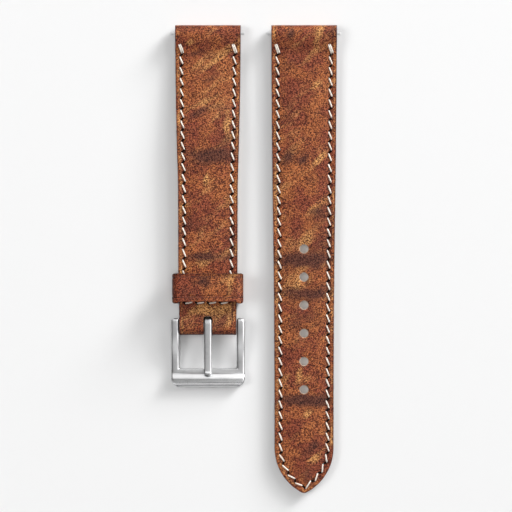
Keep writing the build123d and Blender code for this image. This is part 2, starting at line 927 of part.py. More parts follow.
def model():
    """Every node of the strap, at its place."""
    to_short = Pos(short_x, top_y, 0)
    to_long = Pos(long_x, top_y, 0)
    lug_seat = Pos(0, -lug_bar_setback, lug_radius)
    buckle_seat = Pos(0, -buckle_axis_s, buckle_axis_z)
    lug_pivot_length = pivot_proud - collar_proud
    nodes = {}

    for name, half, place in (("short", short_half, to_short), ("long", long_half, to_long)):
        upper, lining, filler, tape = half()
        nodes[name + "_upper_leather"] = place * upper
        nodes[name + "_lining_leather"] = place * lining
        nodes[name + "_filler_board"] = place * filler
        nodes[name + "_reinforcement_tape"] = place * tape

    for side, i in short_locks():
        knots = short_row(side)
        threads = row_threads(knots, short_base, short_top)
        threads.append(lock_stitch(knots[i], knots[i + 1], short_base, short_top))
        nodes["short_stitching_" + side] = to_short * Compound(threads)
    nodes["short_cross_stitching"] = to_short * cross_thread()

    knots = long_row()
    threads = row_threads(knots, long_base, long_top)
    for i in (0, len(knots) - 2):
        threads.append(lock_stitch(knots[i], knots[i + 1], long_base, long_top))
    nodes["long_stitching"] = to_long * Compound(threads)

    nodes["keeper_loop"] = to_short * keeper()
    bars = {
        "short_lug_bar_": spring_bar(lug_reach, lug_pivot_length, to_short * lug_seat),
        "long_lug_bar_": spring_bar(lug_reach, lug_pivot_length, to_long * lug_seat),
        "buckle_bar_": spring_bar(frame_reach, buckle_pivot_length(), to_short * buckle_seat),
    }
    for prefix, pieces in bars.items():
        for piece_name, piece in pieces.items():
            nodes[prefix + piece_name] = piece
    nodes["buckle_frame"] = to_short * buckle_frame()
    nodes["buckle_tongue"] = to_short * buckle_tongue()
    return nodes


os.makedirs("parts", exist_ok=True)
for node_name, shape in model().items():
    export_step(shape, "parts/" + node_name + ".step")
    print(node_name, len(shape.solids()), round(shape.volume, 2))
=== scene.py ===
import logging
import math
from dataclasses import dataclass
from enum import Enum
from typing import Callable, Iterable, Sequence

import bmesh
import bpy
from mathutils import Matrix, Vector


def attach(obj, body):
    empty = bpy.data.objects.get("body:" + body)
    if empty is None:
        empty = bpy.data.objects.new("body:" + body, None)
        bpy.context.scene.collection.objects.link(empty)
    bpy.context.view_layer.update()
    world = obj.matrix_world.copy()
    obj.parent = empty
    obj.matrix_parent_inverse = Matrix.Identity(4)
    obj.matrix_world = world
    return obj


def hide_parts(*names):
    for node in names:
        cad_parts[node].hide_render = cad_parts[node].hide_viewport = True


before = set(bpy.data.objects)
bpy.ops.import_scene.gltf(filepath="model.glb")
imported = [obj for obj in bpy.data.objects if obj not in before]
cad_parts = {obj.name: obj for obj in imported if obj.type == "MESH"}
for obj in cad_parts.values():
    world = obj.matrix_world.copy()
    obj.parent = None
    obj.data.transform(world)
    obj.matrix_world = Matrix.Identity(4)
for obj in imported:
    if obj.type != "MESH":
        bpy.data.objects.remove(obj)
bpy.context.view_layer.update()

LOG = logging.getLogger("watch_strap")
MM = 0.001
# Edges that turn by more than this are rounded
SHARP = math.radians(50)
Flat = tuple[float, float]
Point = tuple[float, float, float]
Colour = tuple[float, float, float]
Piece = bpy.types.Object
Material = bpy.types.Material
Socket = bpy.types.NodeSocket
Tree = bpy.types.NodeTree


class Shaping(Enum):
    """What a cutter does to a piece."""

    CUT_AWAY = "DIFFERENCE"
    KEEP_INSIDE = "INTERSECT"


class Blend(Enum):
    """How a second colour goes over a first."""

    COVER = "MIX"
    TINT = "MULTIPLY"


class Sum(Enum):
    """What a math node works out."""

    ADD = "ADD"
    SUBTRACT = "SUBTRACT"
    MULTIPLY = "MULTIPLY"
    SINE = "SINE"
    ABSOLUTE = "ABSOLUTE"


# Small helpers for modelling by operators

def deselect_all() -> None:
    """Leave edit mode and deselect every object."""
    if bpy.context.object and bpy.context.object.mode != "OBJECT":
        bpy.ops.object.mode_set(mode="OBJECT")
    bpy.ops.object.select_all(action="DESELECT")


def activate(piece: Piece) -> None:
    """Make a piece the only selected and the active one.

    Args:
        piece: the object to work on.
    """
    deselect_all()
    piece.select_set(True)
    bpy.context.view_layer.objects.active = piece


def named(name: str) -> Piece:
    """Give the active new object its name and bake its place into its mesh.

    Args:
        name: the piece's name.

    Returns:
        The object.
    """
    piece = bpy.context.object
    piece.name = name
    piece.data.name = name
    bpy.ops.object.transform_apply(location=True, rotation=True, scale=True)
    return piece


def select_edges(piece: Piece, wanted: Callable[[bmesh.types.BMEdge], bool]) -> None:
    """Enter edit mode with only the wanted edges selected.

    Args:
        piece: the mesh object.
        wanted: tells whether an edge is selected.
    """
    activate(piece)
    bpy.ops.object.mode_set(mode="EDIT")
    bpy.ops.mesh.select_mode(type="EDGE")
    bpy.ops.mesh.select_all(action="DESELECT")
    mesh = bmesh.from_edit_mesh(piece.data)
    for edge in mesh.edges:
        edge.select_set(wanted(edge))
    bmesh.update_edit_mesh(piece.data)


def apply_modifier(piece: Piece, kind: str, **settings: object) -> None:
    """Add a modifier with its settings and apply it.

    Args:
        piece: the mesh object.
        kind: the modifier's type.
        settings: values for the modifier's properties.
    """
    activate(piece)
    modifier = piece.modifiers.new(kind.title(), kind)
    for key, value in settings.items():
        setattr(modifier, key, value)
    bpy.ops.object.modifier_apply(modifier=modifier.name)


def edit(piece: Piece) -> None:
    """Enter edit mode with everything selected."""
    activate(piece)
    bpy.ops.object.mode_set(mode="EDIT")
    bpy.ops.mesh.select_all(action="SELECT")


def recalculate(piece: Piece, merge: float = 0.0) -> None:
    """Merge doubles and point every face outwards.

    Args:
        piece: the mesh object.
        merge: distance under which vertices are merged, in metres.
    """
    edit(piece)
    if merge:
        bpy.ops.mesh.remove_doubles(threshold=merge)
    bpy.ops.mesh.normals_make_consistent(inside=False)
    bpy.ops.object.mode_set(mode="OBJECT")


def smooth(piece: Piece, degrees: float) -> None:
    """Shade a piece smooth, with its sharper edges kept.

    Args:
        piece: the mesh object.
        degrees: edges sharper than this stay sharp.
    """
    activate(piece)
    bpy.ops.object.shade_smooth_by_angle(angle=math.radians(degrees))


def join(pieces: Sequence[Piece], name: str) -> Piece:
    """Join pieces into one object.

    Args:
        pieces: the objects, the first of which stays.
        name: the joined piece's name.

    Returns:
        The joined object.
    """
    activate(pieces[0])
    for piece in pieces:
        piece.select_set(True)
    if len(pieces) > 1:
        bpy.ops.object.join()
    joined = bpy.context.object
    joined.name = name
    joined.data.name = name
    return joined


def copy_of(piece: Piece, place: Matrix) -> Piece:
    """Copy a piece with its own mesh, put at a place within the mesh.

    Args:
        piece: the object to copy.
        place: where the copy's mesh goes.

    Returns:
        The copy.
    """
    twin = piece.copy()
    twin.data = piece.data.copy()
    twin.data.transform(place)
    bpy.context.collection.objects.link(twin)
    return twin


def finish_piece(piece: Piece, body: str, slot: str, replaces: Iterable[str] = ()) -> None:
    """Ride a finished piece on its body and hide the CAD nodes that it stands for.

    Args:
        piece: the finished object.
        body: the CAD body that carries it.
        slot: a material slot's name; not used.
        replaces: CAD nodes that it stands for.
    """
    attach(piece, body)
    nodes = list(replaces)
    if nodes:
        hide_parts(*nodes)
    LOG.info("%s: %d faces on %s", piece.name, len(piece.data.polygons), body)


# Node helpers and shared effects

@dataclass
class Nodes:
    """Adds and links shader nodes in the node tree of a material or group."""

    tree: Tree

    def add(self, kind: str, **settings: object) -> bpy.types.Node:
        """Add a node.

        Args:
            kind: the node's type name.
            settings: values for its properties.

        Returns:
            The node.
        """
        node = self.tree.nodes.new(kind)
        for key, value in settings.items():
            setattr(node, key, value)
        return node

    def link(self, source: Socket, target: Socket) -> None:
        """Link one socket to another.

        Args:
            source: the output socket.
            target: the input socket.
        """
        self.tree.links.new(source, target)

    def math(self, operation: Sum, first: object, second: object = 0.0) -> Socket:
        """Add a math node fed by sockets or numbers.

        Args:
            operation: what the node works out.
            first: a socket or a number.
            second: a socket or a number.

        Returns:
            The result socket.
        """
        node = self.tree.nodes.new("ShaderNodeMath")
        node.operation = operation.value
        for socket, value in zip(node.inputs, (first, second)):
            if isinstance(value, Socket):
                self.link(value, socket)
            else:
                socket.default_value = value
        return node.outputs[0]

    def plus_share(self, first: object, second: object, share: object) -> Socket:
        """A value plus a share of another."""
        return self.math(Sum.ADD, first, self.times(second, share))

    def times(self, first: object, second: object) -> Socket:
        """One value times another."""
        return self.math(Sum.MULTIPLY, first, second)

    def without(self, value: object) -> Socket:
        """What a value leaves of 1."""
        return self.math(Sum.SUBTRACT, 1.0, value)

    def object_place(self) -> Socket:
        """Coordinates in the piece's own frame."""
        return self.add("ShaderNodeTexCoord").outputs["Object"]

    def group(self, tree: Tree) -> bpy.types.Node:
        """Add one of the shared groups."""
        return self.add("ShaderNodeGroup", node_tree=tree)

    def mix(self, factor: object, first: object, second: object, blend: Blend = Blend.COVER) -> Socket:
        """Mix two colours.

        Args:
            factor: a socket or a number.
            first: a colour or a socket.
            second: a colour or a socket.
            blend: how the second goes over the first.

        Returns:
            The colour socket.
        """
        node = self.tree.nodes.new("ShaderNodeMix")
        node.data_type = "RGBA"
        node.blend_type = blend.value
        for index, value in ((0, factor), (6, first), (7, second)):
            if isinstance(value, Socket):
                self.link(value, node.inputs[index])
            elif index == 0:
                node.inputs[0].default_value = value
            else:
                node.inputs[index].default_value = (*value, 1.0)
        return node.outputs[2]

    def band(self, value: Socket, low: float, high: float) -> Socket:
        """Map a value smoothly to 0 to 1 between two limits.

        Args:
            value: the socket to map.
            low: the value that gives 0.
            high: the value that gives 1.

        Returns:
            The mapped socket.
        """
        node = self.tree.nodes.new("ShaderNodeMapRange")
        node.interpolation_type = "SMOOTHSTEP"
        fill(node, from_min=low, from_max=high)
        self.link(value, node.inputs["Value"])
        return node.outputs["Result"]

    def noise(self, where: Socket, scale: float, detail: float = 4.0,
              roughness: float = 0.55) -> Socket:
        """Add a noise texture.

        Args:
            where: the coordinates.
            scale: noise cells per metre.
            detail: octaves.
            roughness: how strong the finer octaves are.

        Returns:
            The value socket.
        """
        node = self.tree.nodes.new("ShaderNodeTexNoise")
        fill(node, scale=scale, detail=detail, roughness=roughness)
        self.link(where, node.inputs["Vector"])
        return node.outputs["Fac"]

    def stretched(self, where: Socket, turn: float, stretch: Point) -> Socket:
        """Turn coordinates about Z and stretch them.

        Args:
            where: the coordinates.
            turn: degrees about Z.
            stretch: scale along each turned axis.

        Returns:
            The mapped coordinates.
        """
        turned = self.tree.nodes.new("ShaderNodeMapping")
        fill(turned, rotation=(0.0, 0.0, math.radians(turn)))
        self.link(where, turned.inputs["Vector"])
        scaled = self.tree.nodes.new("ShaderNodeMapping")
        fill(scaled, scale=stretch)
        self.link(turned.outputs["Vector"], scaled.inputs["Vector"])
        return scaled.outputs["Vector"]


def fill(node: bpy.types.Node, **values: object) -> None:
    """Set a node's inputs by their names, in small letters and with _ for a space."""
    for key, value in values.items():
        node.inputs[key.replace("_", " ").title().replace("Ior", "IOR")].default_value = value


def new_group(name: str, inputs: dict[str, float], outputs: dict[str, str]) -> tuple[Tree, Nodes]:
    """Make an empty node group with its sockets.

    Args:
        name: the group's name.
        inputs: float inputs with their defaults.
        outputs: outputs with their socket types.

    Returns:
        The group and a node helper for it.
    """
    group = bpy.data.node_groups.new(name, "ShaderNodeTree")
    for key, value in inputs.items():
        socket = group.interface.new_socket(key, in_out="INPUT", socket_type="NodeSocketFloat")
        socket.default_value = value
    for key, kind in outputs.items():
        group.interface.new_socket(key, in_out="OUTPUT", socket_type=kind)
    return group, Nodes(group)


def grain_group() -> Tree:
    """Leather grain: pebbles, fine pores and creases as one height."""
    group, nodes = new_group("leather_grain", {"Pebble Scale": 1500.0, "Pore Scale": 4000.0},
                             dict.fromkeys(("Height", "Speckle"), "NodeSocketFloat"))
    entry = nodes.add("NodeGroupInput")
    exit_ = nodes.add("NodeGroupOutput")
    where = nodes.object_place()
    warp = nodes.add("ShaderNodeTexNoise")
    fill(warp, scale=900.0)
    nodes.link(where, warp.inputs["Vector"])
    shift = nodes.add("ShaderNodeVectorMath", operation="SCALE")
    nodes.link(warp.outputs["Color"], shift.inputs[0])
    fill(shift, scale=0.0002)
    moved = nodes.add("ShaderNodeVectorMath", operation="ADD")
    nodes.link(where, moved.inputs[0])
    nodes.link(shift.outputs["Vector"], moved.inputs[1])
    pebbles = nodes.add("ShaderNodeTexVoronoi", feature="DISTANCE_TO_EDGE")
    nodes.link(moved.outputs["Vector"], pebbles.inputs["Vector"])
    nodes.link(entry.outputs["Pebble Scale"], pebbles.inputs["Scale"])
    pebble_height = nodes.band(pebbles.outputs["Distance"], 0.0, 0.22)
    pores = nodes.add("ShaderNodeTexNoise")
    fill(pores, detail=2.0, roughness=0.6)
    nodes.link(moved.outputs["Vector"], pores.inputs["Vector"])
    nodes.link(entry.outputs["Pore Scale"], pores.inputs["Scale"])
    grains = nodes.add("ShaderNodeTexVoronoi", feature="F1")
    fill(grains, scale=4600.0)
    nodes.link(where, grains.inputs["Vector"])
    grain_value = nodes.add("ShaderNodeSeparateColor")
    nodes.link(grains.outputs["Color"], grain_value.inputs["Color"])
    speck = nodes.plus_share(pores.outputs["Fac"], grain_value.outputs["Red"], 0.24)
    height = nodes.plus_share(nodes.times(pores.outputs["Fac"], 0.8), pebble_height, 0.45)
    nodes.link(height, exit_.inputs["Height"])
    nodes.link(nodes.math(Sum.SUBTRACT, speck, 0.12), exit_.inputs["Speckle"])
    return group


def mottle_group() -> Tree:
    """Waxed leather's mottling: soft clouds and diagonal pull-up streaks."""
    group, nodes = new_group("leather_mottle", {"Seed": 0.0},
                             dict.fromkeys(("Cloud", "Streak", "Dark"), "NodeSocketFloat"))
    entry = nodes.add("NodeGroupInput")
    exit_ = nodes.add("NodeGroupOutput")
    where = nodes.object_place()
    seed = nodes.add("ShaderNodeCombineXYZ")
    nodes.link(entry.outputs["Seed"], seed.inputs["Z"])
    moved = nodes.add("ShaderNodeVectorMath", operation="ADD")
    nodes.link(where, moved.inputs[0])
    nodes.link(seed.outputs["Vector"], moved.inputs[1])
    start = moved.outputs["Vector"]
    cloud = nodes.noise(start, 150.0, 6.0, 0.66)
    along = nodes.stretched(start, -38.0, (0.38, 1.25, 1.0))
    streak = nodes.noise(along, 250.0, 5.0, 0.66)
    dark = nodes.noise(nodes.stretched(start, -30.0, (0.5, 1.0, 1.0)), 180.0, 5.0, 0.66)
    nodes.link(cloud, exit_.inputs["Cloud"])
    nodes.link(streak, exit_.inputs["Streak"])
    nodes.link(dark, exit_.inputs["Dark"])
    return group


def twist_group() -> Tree:
    """Twisted thread: slanted plies as a height along the thread's own UV map."""
    group, nodes = new_group("thread_twist", {"Plies": 9.0}, {"Height": "NodeSocketFloat"})
    entry = nodes.add("NodeGroupInput")
    exit_ = nodes.add("NodeGroupOutput")
    where = nodes.add("ShaderNodeTexCoord").outputs["UV"]
    parts = nodes.add("ShaderNodeSeparateXYZ")
    nodes.link(where, parts.inputs[0])
    plies = nodes.times(parts.outputs["Y"], entry.outputs["Plies"])
    slanted = nodes.plus_share(plies, parts.outputs["X"], 2.0)
    wave = nodes.math(Sum.SINE, nodes.times(slanted, 2 * math.pi))
    nodes.link(nodes.math(Sum.ABSOLUTE, wave), exit_.inputs["Height"])
    return group


class Effects:
    """The shared effects, each built once."""

    grain: Tree
    mottle: Tree
    twist: Tree

    def __init__(self) -> None:
        """Build every group."""
        self.grain = grain_group()
        self.mottle = mottle_group()
        self.twist = twist_group()


def new_material(name: str) -> tuple[Material, Nodes, bpy.types.Node]:
    """Make a material with an empty tree and its main shader.

    Args:
        name: the material's name.

    Returns:
        The material, a node helper and the main shader.
    """
    material = bpy.data.materials.new(name)
    material.use_nodes = True
    material.node_tree.nodes.clear()
    nodes = Nodes(material.node_tree)
    shader = nodes.add("ShaderNodeBsdfPrincipled")
    output = nodes.add("ShaderNodeOutputMaterial")
    nodes.link(shader.outputs["BSDF"], output.inputs["Surface"])
    return material, nodes, shader


def add_bump(nodes: Nodes, shader: bpy.types.Node, height: Socket, strength: float,
             distance: float) -> None:
    """Feed a shader's normal from a height.

    Args:
        nodes: the material's helper.
        shader: the main shader.
        height: the height socket.
        strength: the bump's strength.
        distance: the height's full depth in metres.
    """
    bump = nodes.add("ShaderNodeBump")
    fill(bump, strength=strength, distance=distance)
    nodes.link(height, bump.inputs["Height"])
    nodes.link(bump.outputs["Normal"], shader.inputs["Normal"])


class Finish:
    """A finish, which builds its own material."""

    name: str

    def material(self, effects: Effects) -> Material:
        """Build the material.

        Args:
            effects: the shared groups.

        Returns:
            The material.
        """
        material, nodes, shader = new_material(self.name)
        self.dress(nodes, shader, effects)
        return material

    def dress(self, nodes: Nodes, shader: bpy.types.Node, effects: Effects) -> None:
        """Feed the main shader.

        Args:
            nodes: the material's helper.
            shader: the main shader.
            effects: the shared groups.
        """
        raise NotImplementedError


@dataclass(frozen=True)
class GrainLeather(Finish):
    """Waxed, mottled upper leather, whose patches follow two painted masks."""

    name: str = "cognac_leather"
    base: Colour = (0.186, 0.0345, 0.0140)
    warm: Colour = (0.288, 0.072, 0.0200)
    golden: Colour = (0.430, 0.165, 0.050)
    dark: Colour = (0.088, 0.022, 0.0115)
    # dark of the blue mask: edge dye, and painted shade in grooves and creases
    dye_and_shade: Colour = (0.030, 0.005, 0.003)
    # tints that paint shade into the grain's hollows and a highlight onto its crowns
    grain_shade_tint: Colour = (0.14, 0.080, 0.068)
    grain_highlight_tint: Colour = (2.35, 3.2, 3.5)
    seed: float = 0.0
    roughness: float = 0.52

    def dress(self, nodes: Nodes, shader: bpy.types.Node, effects: Effects) -> None:
        """Feed the main shader, as the base class says."""
        grain = nodes.group(effects.grain)
        mottle = nodes.group(effects.mottle)
        fill(mottle, seed=self.seed)
        painted = nodes.add("ShaderNodeAttribute", attribute_name="patches")
        masks = nodes.add("ShaderNodeSeparateColor")
        nodes.link(painted.outputs["Color"], masks.inputs["Color"])
        cloud = nodes.band(mottle.outputs["Cloud"], 0.43, 0.59)
        colour = nodes.mix(cloud, self.base, self.warm)
        # red and green masks: golden and dark patches, with painted highlight and painted shade along the
        # margins
        streak = nodes.plus_share(mottle.outputs["Streak"], masks.outputs["Red"], 0.30)
        colour = nodes.mix(nodes.band(streak, 0.50, 0.77), colour, self.golden)
        shade = nodes.plus_share(mottle.outputs["Dark"], masks.outputs["Green"], 0.25)
        colour = nodes.mix(nodes.band(shade, 0.50, 0.85), colour, self.dark)
        # painted shade in the grain's hollows and painted highlight on its crowns, which follow the grain's
        # height
        hollow = nodes.without(nodes.band(grain.outputs["Speckle"], 0.42, 0.505))
        colour = nodes.mix(nodes.times(hollow, 0.94), colour, self.grain_shade_tint, Blend.TINT)
        crown = nodes.band(grain.outputs["Speckle"], 0.50, 0.61)
        lit = nodes.mix(nodes.times(crown, 0.72), colour, self.grain_highlight_tint, Blend.TINT)
        # the blue mask: dark edge dye by the edges, and painted shade in the stitch groove and creases, and
        # on the keeper's sides
        dyed_and_shaded = nodes.mix(nodes.times(masks.outputs["Blue"], 0.85), lit, self.dye_and_shade)
        nodes.link(dyed_and_shaded, shader.inputs["Base Color"])
        rough = nodes.plus_share(self.roughness + 0.12, grain.outputs["Speckle"], -0.25)
        nodes.link(rough, shader.inputs["Roughness"])
        fill(shader, specular_ior_level=0.2)
        add_bump(nodes, shader, grain.outputs["Height"], 0.6, 0.00012)


@dataclass(frozen=True)
class PlainLeather(Finish):
    """Smooth leather or board with a quiet grain."""

    name: str
    light: Colour
    deep: Colour
    roughness: float = 0.6

    def dress(self, nodes: Nodes, shader: bpy.types.Node, effects: Effects) -> None:
        """Feed the main shader, as the base class says."""
        grain = nodes.group(effects.grain)
        fill(grain, pebble_scale=2600.0)
        where = nodes.object_place()
        cloud = nodes.band(nodes.noise(where, 240.0), 0.35, 0.7)
        colour = nodes.mix(cloud, self.deep, self.light)
        fine = nodes.times(nodes.band(grain.outputs["Speckle"], 0.35, 0.7), 0.35)
        nodes.link(nodes.mix(fine, colour, self.deep), shader.inputs["Base Color"])
        fill(shader, roughness=self.roughness, specular_ior_level=0.3)
        add_bump(nodes, shader, grain.outputs["Height"], 0.3, 0.00005)


@dataclass(frozen=True)
class WaxedThread(Finish):
    """Off-white twisted thread."""

    name: str = "waxed_thread"
    pale: Colour = (0.98, 0.90, 0.80)
    shade: Colour = (0.42, 0.33, 0.24)

    def dress(self, nodes: Nodes, shader: bpy.types.Node, effects: Effects) -> None:
        """Feed the main shader, as the base class says."""
        twist = nodes.group(effects.twist)
        groove = nodes.without(nodes.band(twist.outputs["Height"], 0.0, 0.45))
        where = nodes.object_place()
        soil = nodes.band(nodes.noise(where, 900.0), 0.5, 0.8)
        colour = nodes.mix(nodes.times(groove, 0.35), self.pale, self.shade)
        nodes.link(nodes.mix(nodes.times(soil, 0.25), colour, self.shade), shader.inputs["Base Color"])
        fill(shader, roughness=0.7, sheen_weight=0.2)
        add_bump(nodes, shader, twist.outputs["Height"], 0.6, 0.00004)


@dataclass(frozen=True)
class Steel(Finish):
    """Steel with brushed lines along one axis and light wear."""

    name: str
    colour: Colour = (0.72, 0.72, 0.725)
    roughness: float = 0.30
    brushing: Point = (0.06, 1.0, 1.0)
    depth: float = 0.000004
    side_shade: Colour | None = None

    def dress(self, nodes: Nodes, shader: bpy.types.Node, effects: Effects) -> None:
        """Feed the main shader, as the base class says."""
        where = nodes.object_place()
        lines = nodes.noise(nodes.stretched(where, 0.0, self.brushing), 9000.0, 3.0, 0.6)
        darkness = nodes.noise(where, 500.0, 4.0)
        tint = tuple(0.86 * part for part in self.colour)
        colour = nodes.mix(nodes.band(darkness, 0.45, 0.75), self.colour, tint)
        # painted shade on the sideways faces, after the painted attribute
        if self.side_shade:
            painted = nodes.add("ShaderNodeAttribute", attribute_name="side_shade_mask")
            colour = nodes.mix(painted.outputs["Fac"], colour, self.side_shade)
        nodes.link(colour, shader.inputs["Base Color"])
        rough = nodes.plus_share(self.roughness - 0.05, lines, 0.10)
        nodes.link(rough, shader.inputs["Roughness"])
        fill(shader, metallic=1.0)
        add_bump(nodes, shader, lines, 0.25, self.depth)


# The strap's shape, as the frame has it

@dataclass(frozen=True)
class Stack:
    """Thicknesses of the leather stack and its ends, in millimetres."""

    upper: float = 0.9
    filler: float = 0.6
    lining: float = 0.8
    glue: float = 0.03
    flap: float = 0.4
    lug_thickness: float = 3.6
    lug_length: float = 8.0
    lug_flap: float = 10.0
    lining_start: float = 3.8
    lug_half: float = 8.0
    filler_start: float = 3.1
    flap_clear: float = 10.8
    over_flap: float = 0.44
    over_tape: float = 0.14
    channel_half: float = 4.1
    tape_start: float = 11.0
    tape_width: float = 8.0
    tape_top: float = 0.12
    tape_bottom: float = 0.005
    turn_steps: int = 18

    @property
    def body(self) -> float:
        """Thickness of the whole stack."""
        return self.upper + self.filler + self.lining + 2 * self.glue


@dataclass(frozen=True)
class Stitches:
    """Sizes of the saddle stitching, in millimetres."""

    pitch: float = 2.63
    inset: float = 1.45
    start: float = 4.7
    spread: float = 0.37
    lead: float = 0.43
    end_lead: float = 0.15
    groove_depth: float = 0.16
    groove_half: float = 0.62
    slit_width: float = 0.50
    slit_across: float = 0.27
    slit_along: float = 0.24
    cross_pitch: float = 2.9
    cross_shift: float = -0.3
    cross_count: int = 4
    cross_half: float = 0.80
    rise: float = 0.12
    back_rise: float = 0.24
    doubled_apart: float = 0.20
    underside: float = 2.2


STACK = Stack()
STITCHES = Stitches()


def blend_height(s: float, start: Flat, end: Flat) -> float:
    """Height on two tangent arcs that are level at both ends.

    Args:
        s: distance from the lug end.
        start: distance and height where the curve starts.
        end: distance and height where it ends.

    Returns:
        The height at s.
    """
    run = (end[0] - start[0]) / 2
    rise = (end[1] - start[1]) / 2
    radius = (run**2 + rise**2) / (2 * abs(rise))
    near = max(0.0, min(s - start[0], end[0] - s))
    bend = math.copysign(radius - math.sqrt(radius**2 - near**2), rise)
    return start[1] + bend if s - start[0] < run else end[1] - bend


def smooth_table(s: float, table: Sequence[Flat]) -> float:
    """Read a table of distances and values along a smooth curve.

    Args:
        s: the distance.
        table: rising distances, each with its value.

    Returns:
        The value at s, with level ends.
    """
    if s <= table[0][0]:
        return table[0][1]
    if s >= table[-1][0]:
        return table[-1][1]
    slopes = [0.0]
    for before, after in zip(table, table[2:]):
        slopes.append((after[1] - before[1]) / (after[0] - before[0]))
    slopes.append(0.0)
    index = max(i for i, row in enumerate(table) if row[0] <= s)
    (s0, v0), (s1, v1) = table[index], table[index + 1]
    span = s1 - s0
    t = (s - s0) / span
    return ((2 * t**3 - 3 * t**2 + 1) * v0 + (t**3 - 2 * t**2 + t) * span * slopes[index]
            + (3 * t**2 - 2 * t**3) * v1 + (t**3 - t**2) * span * slopes[index + 1])


@dataclass(frozen=True)
class Patch:
    """A golden or dark patch on a half.

    Attributes:
        across: millimetres right of the half's centre.
        down: millimetres from the lug end.
        long: half length of the patch.
        wide: half width of the patch.
        turn: degrees its length leans from X.
        strength: positive for golden, negative for dark.
    """

    across: float
    down: float
    long: float
    wide: float
    turn: float
    strength: float

    def weight(self, x: float, s: float) -> float:
        """Weight of the patch at a place on the half.

        Args:
            x: millimetres right of the centre.
            s: millimetres from the lug end.

        Returns:
            From 0 outside to 1 in the middle.
        """
        angle = math.radians(self.turn)
        dx = x - self.across
        dy = self.down - s
        along = (dx * math.cos(angle) + dy * math.sin(angle)) / self.long
        aside = (dy * math.cos(angle) - dx * math.sin(angle)) / self.wide
        return math.exp(-1.2 * (along**2 + aside**2))


def patch_rows(*rows: tuple[float, ...]) -> tuple[Patch, ...]:
    """Patches from rows of their values, in the order of the class's attributes."""
    return tuple(Patch(*row) for row in rows)


@dataclass
class Half:
    """Shape of one half of the strap, in millimetres from its lug end.

    Attributes:
        name: short or long, as its nodes are called.
        body: the CAD body that carries it.
        centre: X of its centre line.
        top_y: Y of its lug end.
        length: its whole length.
        widths: distances with half widths.
        patches: its golden and dark patches.
    """

    name: str
    body: str
    centre: float
    top_y: float
    length: float
    widths: Sequence[Flat]
    patches: Sequence[Patch]

    groove_lead = 0.4
    groove_fade = 0.6
    crown_start = 1.9
    crown_run = 4.2
    crown_rise = 0.20

    def half_width(self, s: float) -> float:
        """Half width at a distance s."""
        return smooth_table(s, self.widths)

    def edge_distance(self, x: float, s: float) -> float:
        """Distance from the plan outline's side at x and s."""
        return self.half_width(s) - abs(x)

    def base(self, s: float) -> float:
        """Height of the underside."""
        return 0.0

    def top(self, s: float) -> float:
        """Height of the upper face."""
        if s < STACK.lug_length:
            crest = (STACK.lug_thickness / 2, STACK.lug_thickness)
            return blend_height(s, crest, (STACK.lug_length, STACK.body))
        return self.base(s) + STACK.body

    def groove_range(self) -> Flat:
        """Distances between which the stitch groove runs."""
        return STITCHES.start - self.groove_lead, self.length

    def crown(self, x: float, s: float) -> float:
        """How far the middle of the upper face swells."""
        inside = min(1.0, max(0.0, (self.edge_distance(x, s) - self.crown_start) / self.crown_run))
        return self.crown_rise * inside * (2 - inside)

    def groove(self, x: float, s: float) -> float:
        """Depth of the stitch groove at x and s."""
        low, high = self.groove_range()
        fade_run = self.groove_fade
        if not low - fade_run < s < high + fade_run:
            return 0.0
        fade = min(1.0, (s - low + fade_run) / fade_run, (high + fade_run - s) / fade_run)
        off = abs(self.edge_distance(x, s) - STITCHES.inset) / STITCHES.groove_half
        if off >= 1:
            return 0.0
        return fade * STITCHES.groove_depth * (1 - off**2) ** 2

    def crease(self, x: float, s: float) -> float:
        """Strength of the painted shade in the creases beside the edges, 0 where there is none."""
        return 0.0

    def place(self, x: float, s: float, z: float) -> Vector:
        """A point of the half in the row's frame, in metres."""
        return Vector(((self.centre + x) * MM, (self.top_y - s) * MM, z * MM))


class ShortHalf(Half):
    """The half with the buckle, lifted off the surface by its keeper."""

    lift = 1.0
    lift_end = 34.0
    fold_start = 67.9
    axis_s = 73.35
    fold_thickness = 3.5
    flap_start = 63.95
    filler_end = 71.5
    cross_row = 67.7
    slot_back = 2.20
    slot_half = 1.05
    slot_corner = 0.5
    slot_open = 90.0

    def cross_centres(self) -> list[float]:
        """X of the middle of each stitch across the half."""
        count = STITCHES.cross_count
        return [STITCHES.cross_shift + STITCHES.cross_pitch * (i - (count - 1) / 2) for i in range(count)]

    def base(self, s: float) -> float:
        """Height of the underside."""
        if s <= STACK.lug_length:
            return 0.0
        if s >= self.lift_end:
            return self.lift
        return blend_height(s, (STACK.lug_length, 0.0), (self.lift_end, self.lift))

    def top(self, s: float) -> float:
        """Height of the upper face."""
        if s > self.fold_start:
            start = (self.fold_start, self.lift + STACK.body)
            crest = (self.axis_s, self.lift + self.fold_thickness)
            return blend_height(min(s, self.axis_s), start, crest)
        return super().top(s)

    def groove_range(self) -> Flat:
        """Distances between which the stitch groove runs."""
        return STITCHES.start - self.groove_lead, self.cross_row

    def crease(self, x: float, s: float) -> float:
        """Strength of the painted shade in the creases beside the edges, past the cross stitches, and at the
        fold's end.
        """
        if s < self.cross_row - 1.0:
            return 0.0
        line = max(0.0, 1 - abs(self.edge_distance(x, s) - 0.95) / 0.22)
        fold = max(0.0, (s - self.length + 0.45) / 0.45)
        return min(1.0, 0.75 * line * (s < self.axis_s) + fold)

    def crown(self, x: float, s: float) -> float:
        """How far the middle of the upper face swells, less at the fold."""
        fade = min(1.0, max(0.0, (self.fold_start + 2.0 - s) / 6.0))
        return super().crown(x, s) * fade


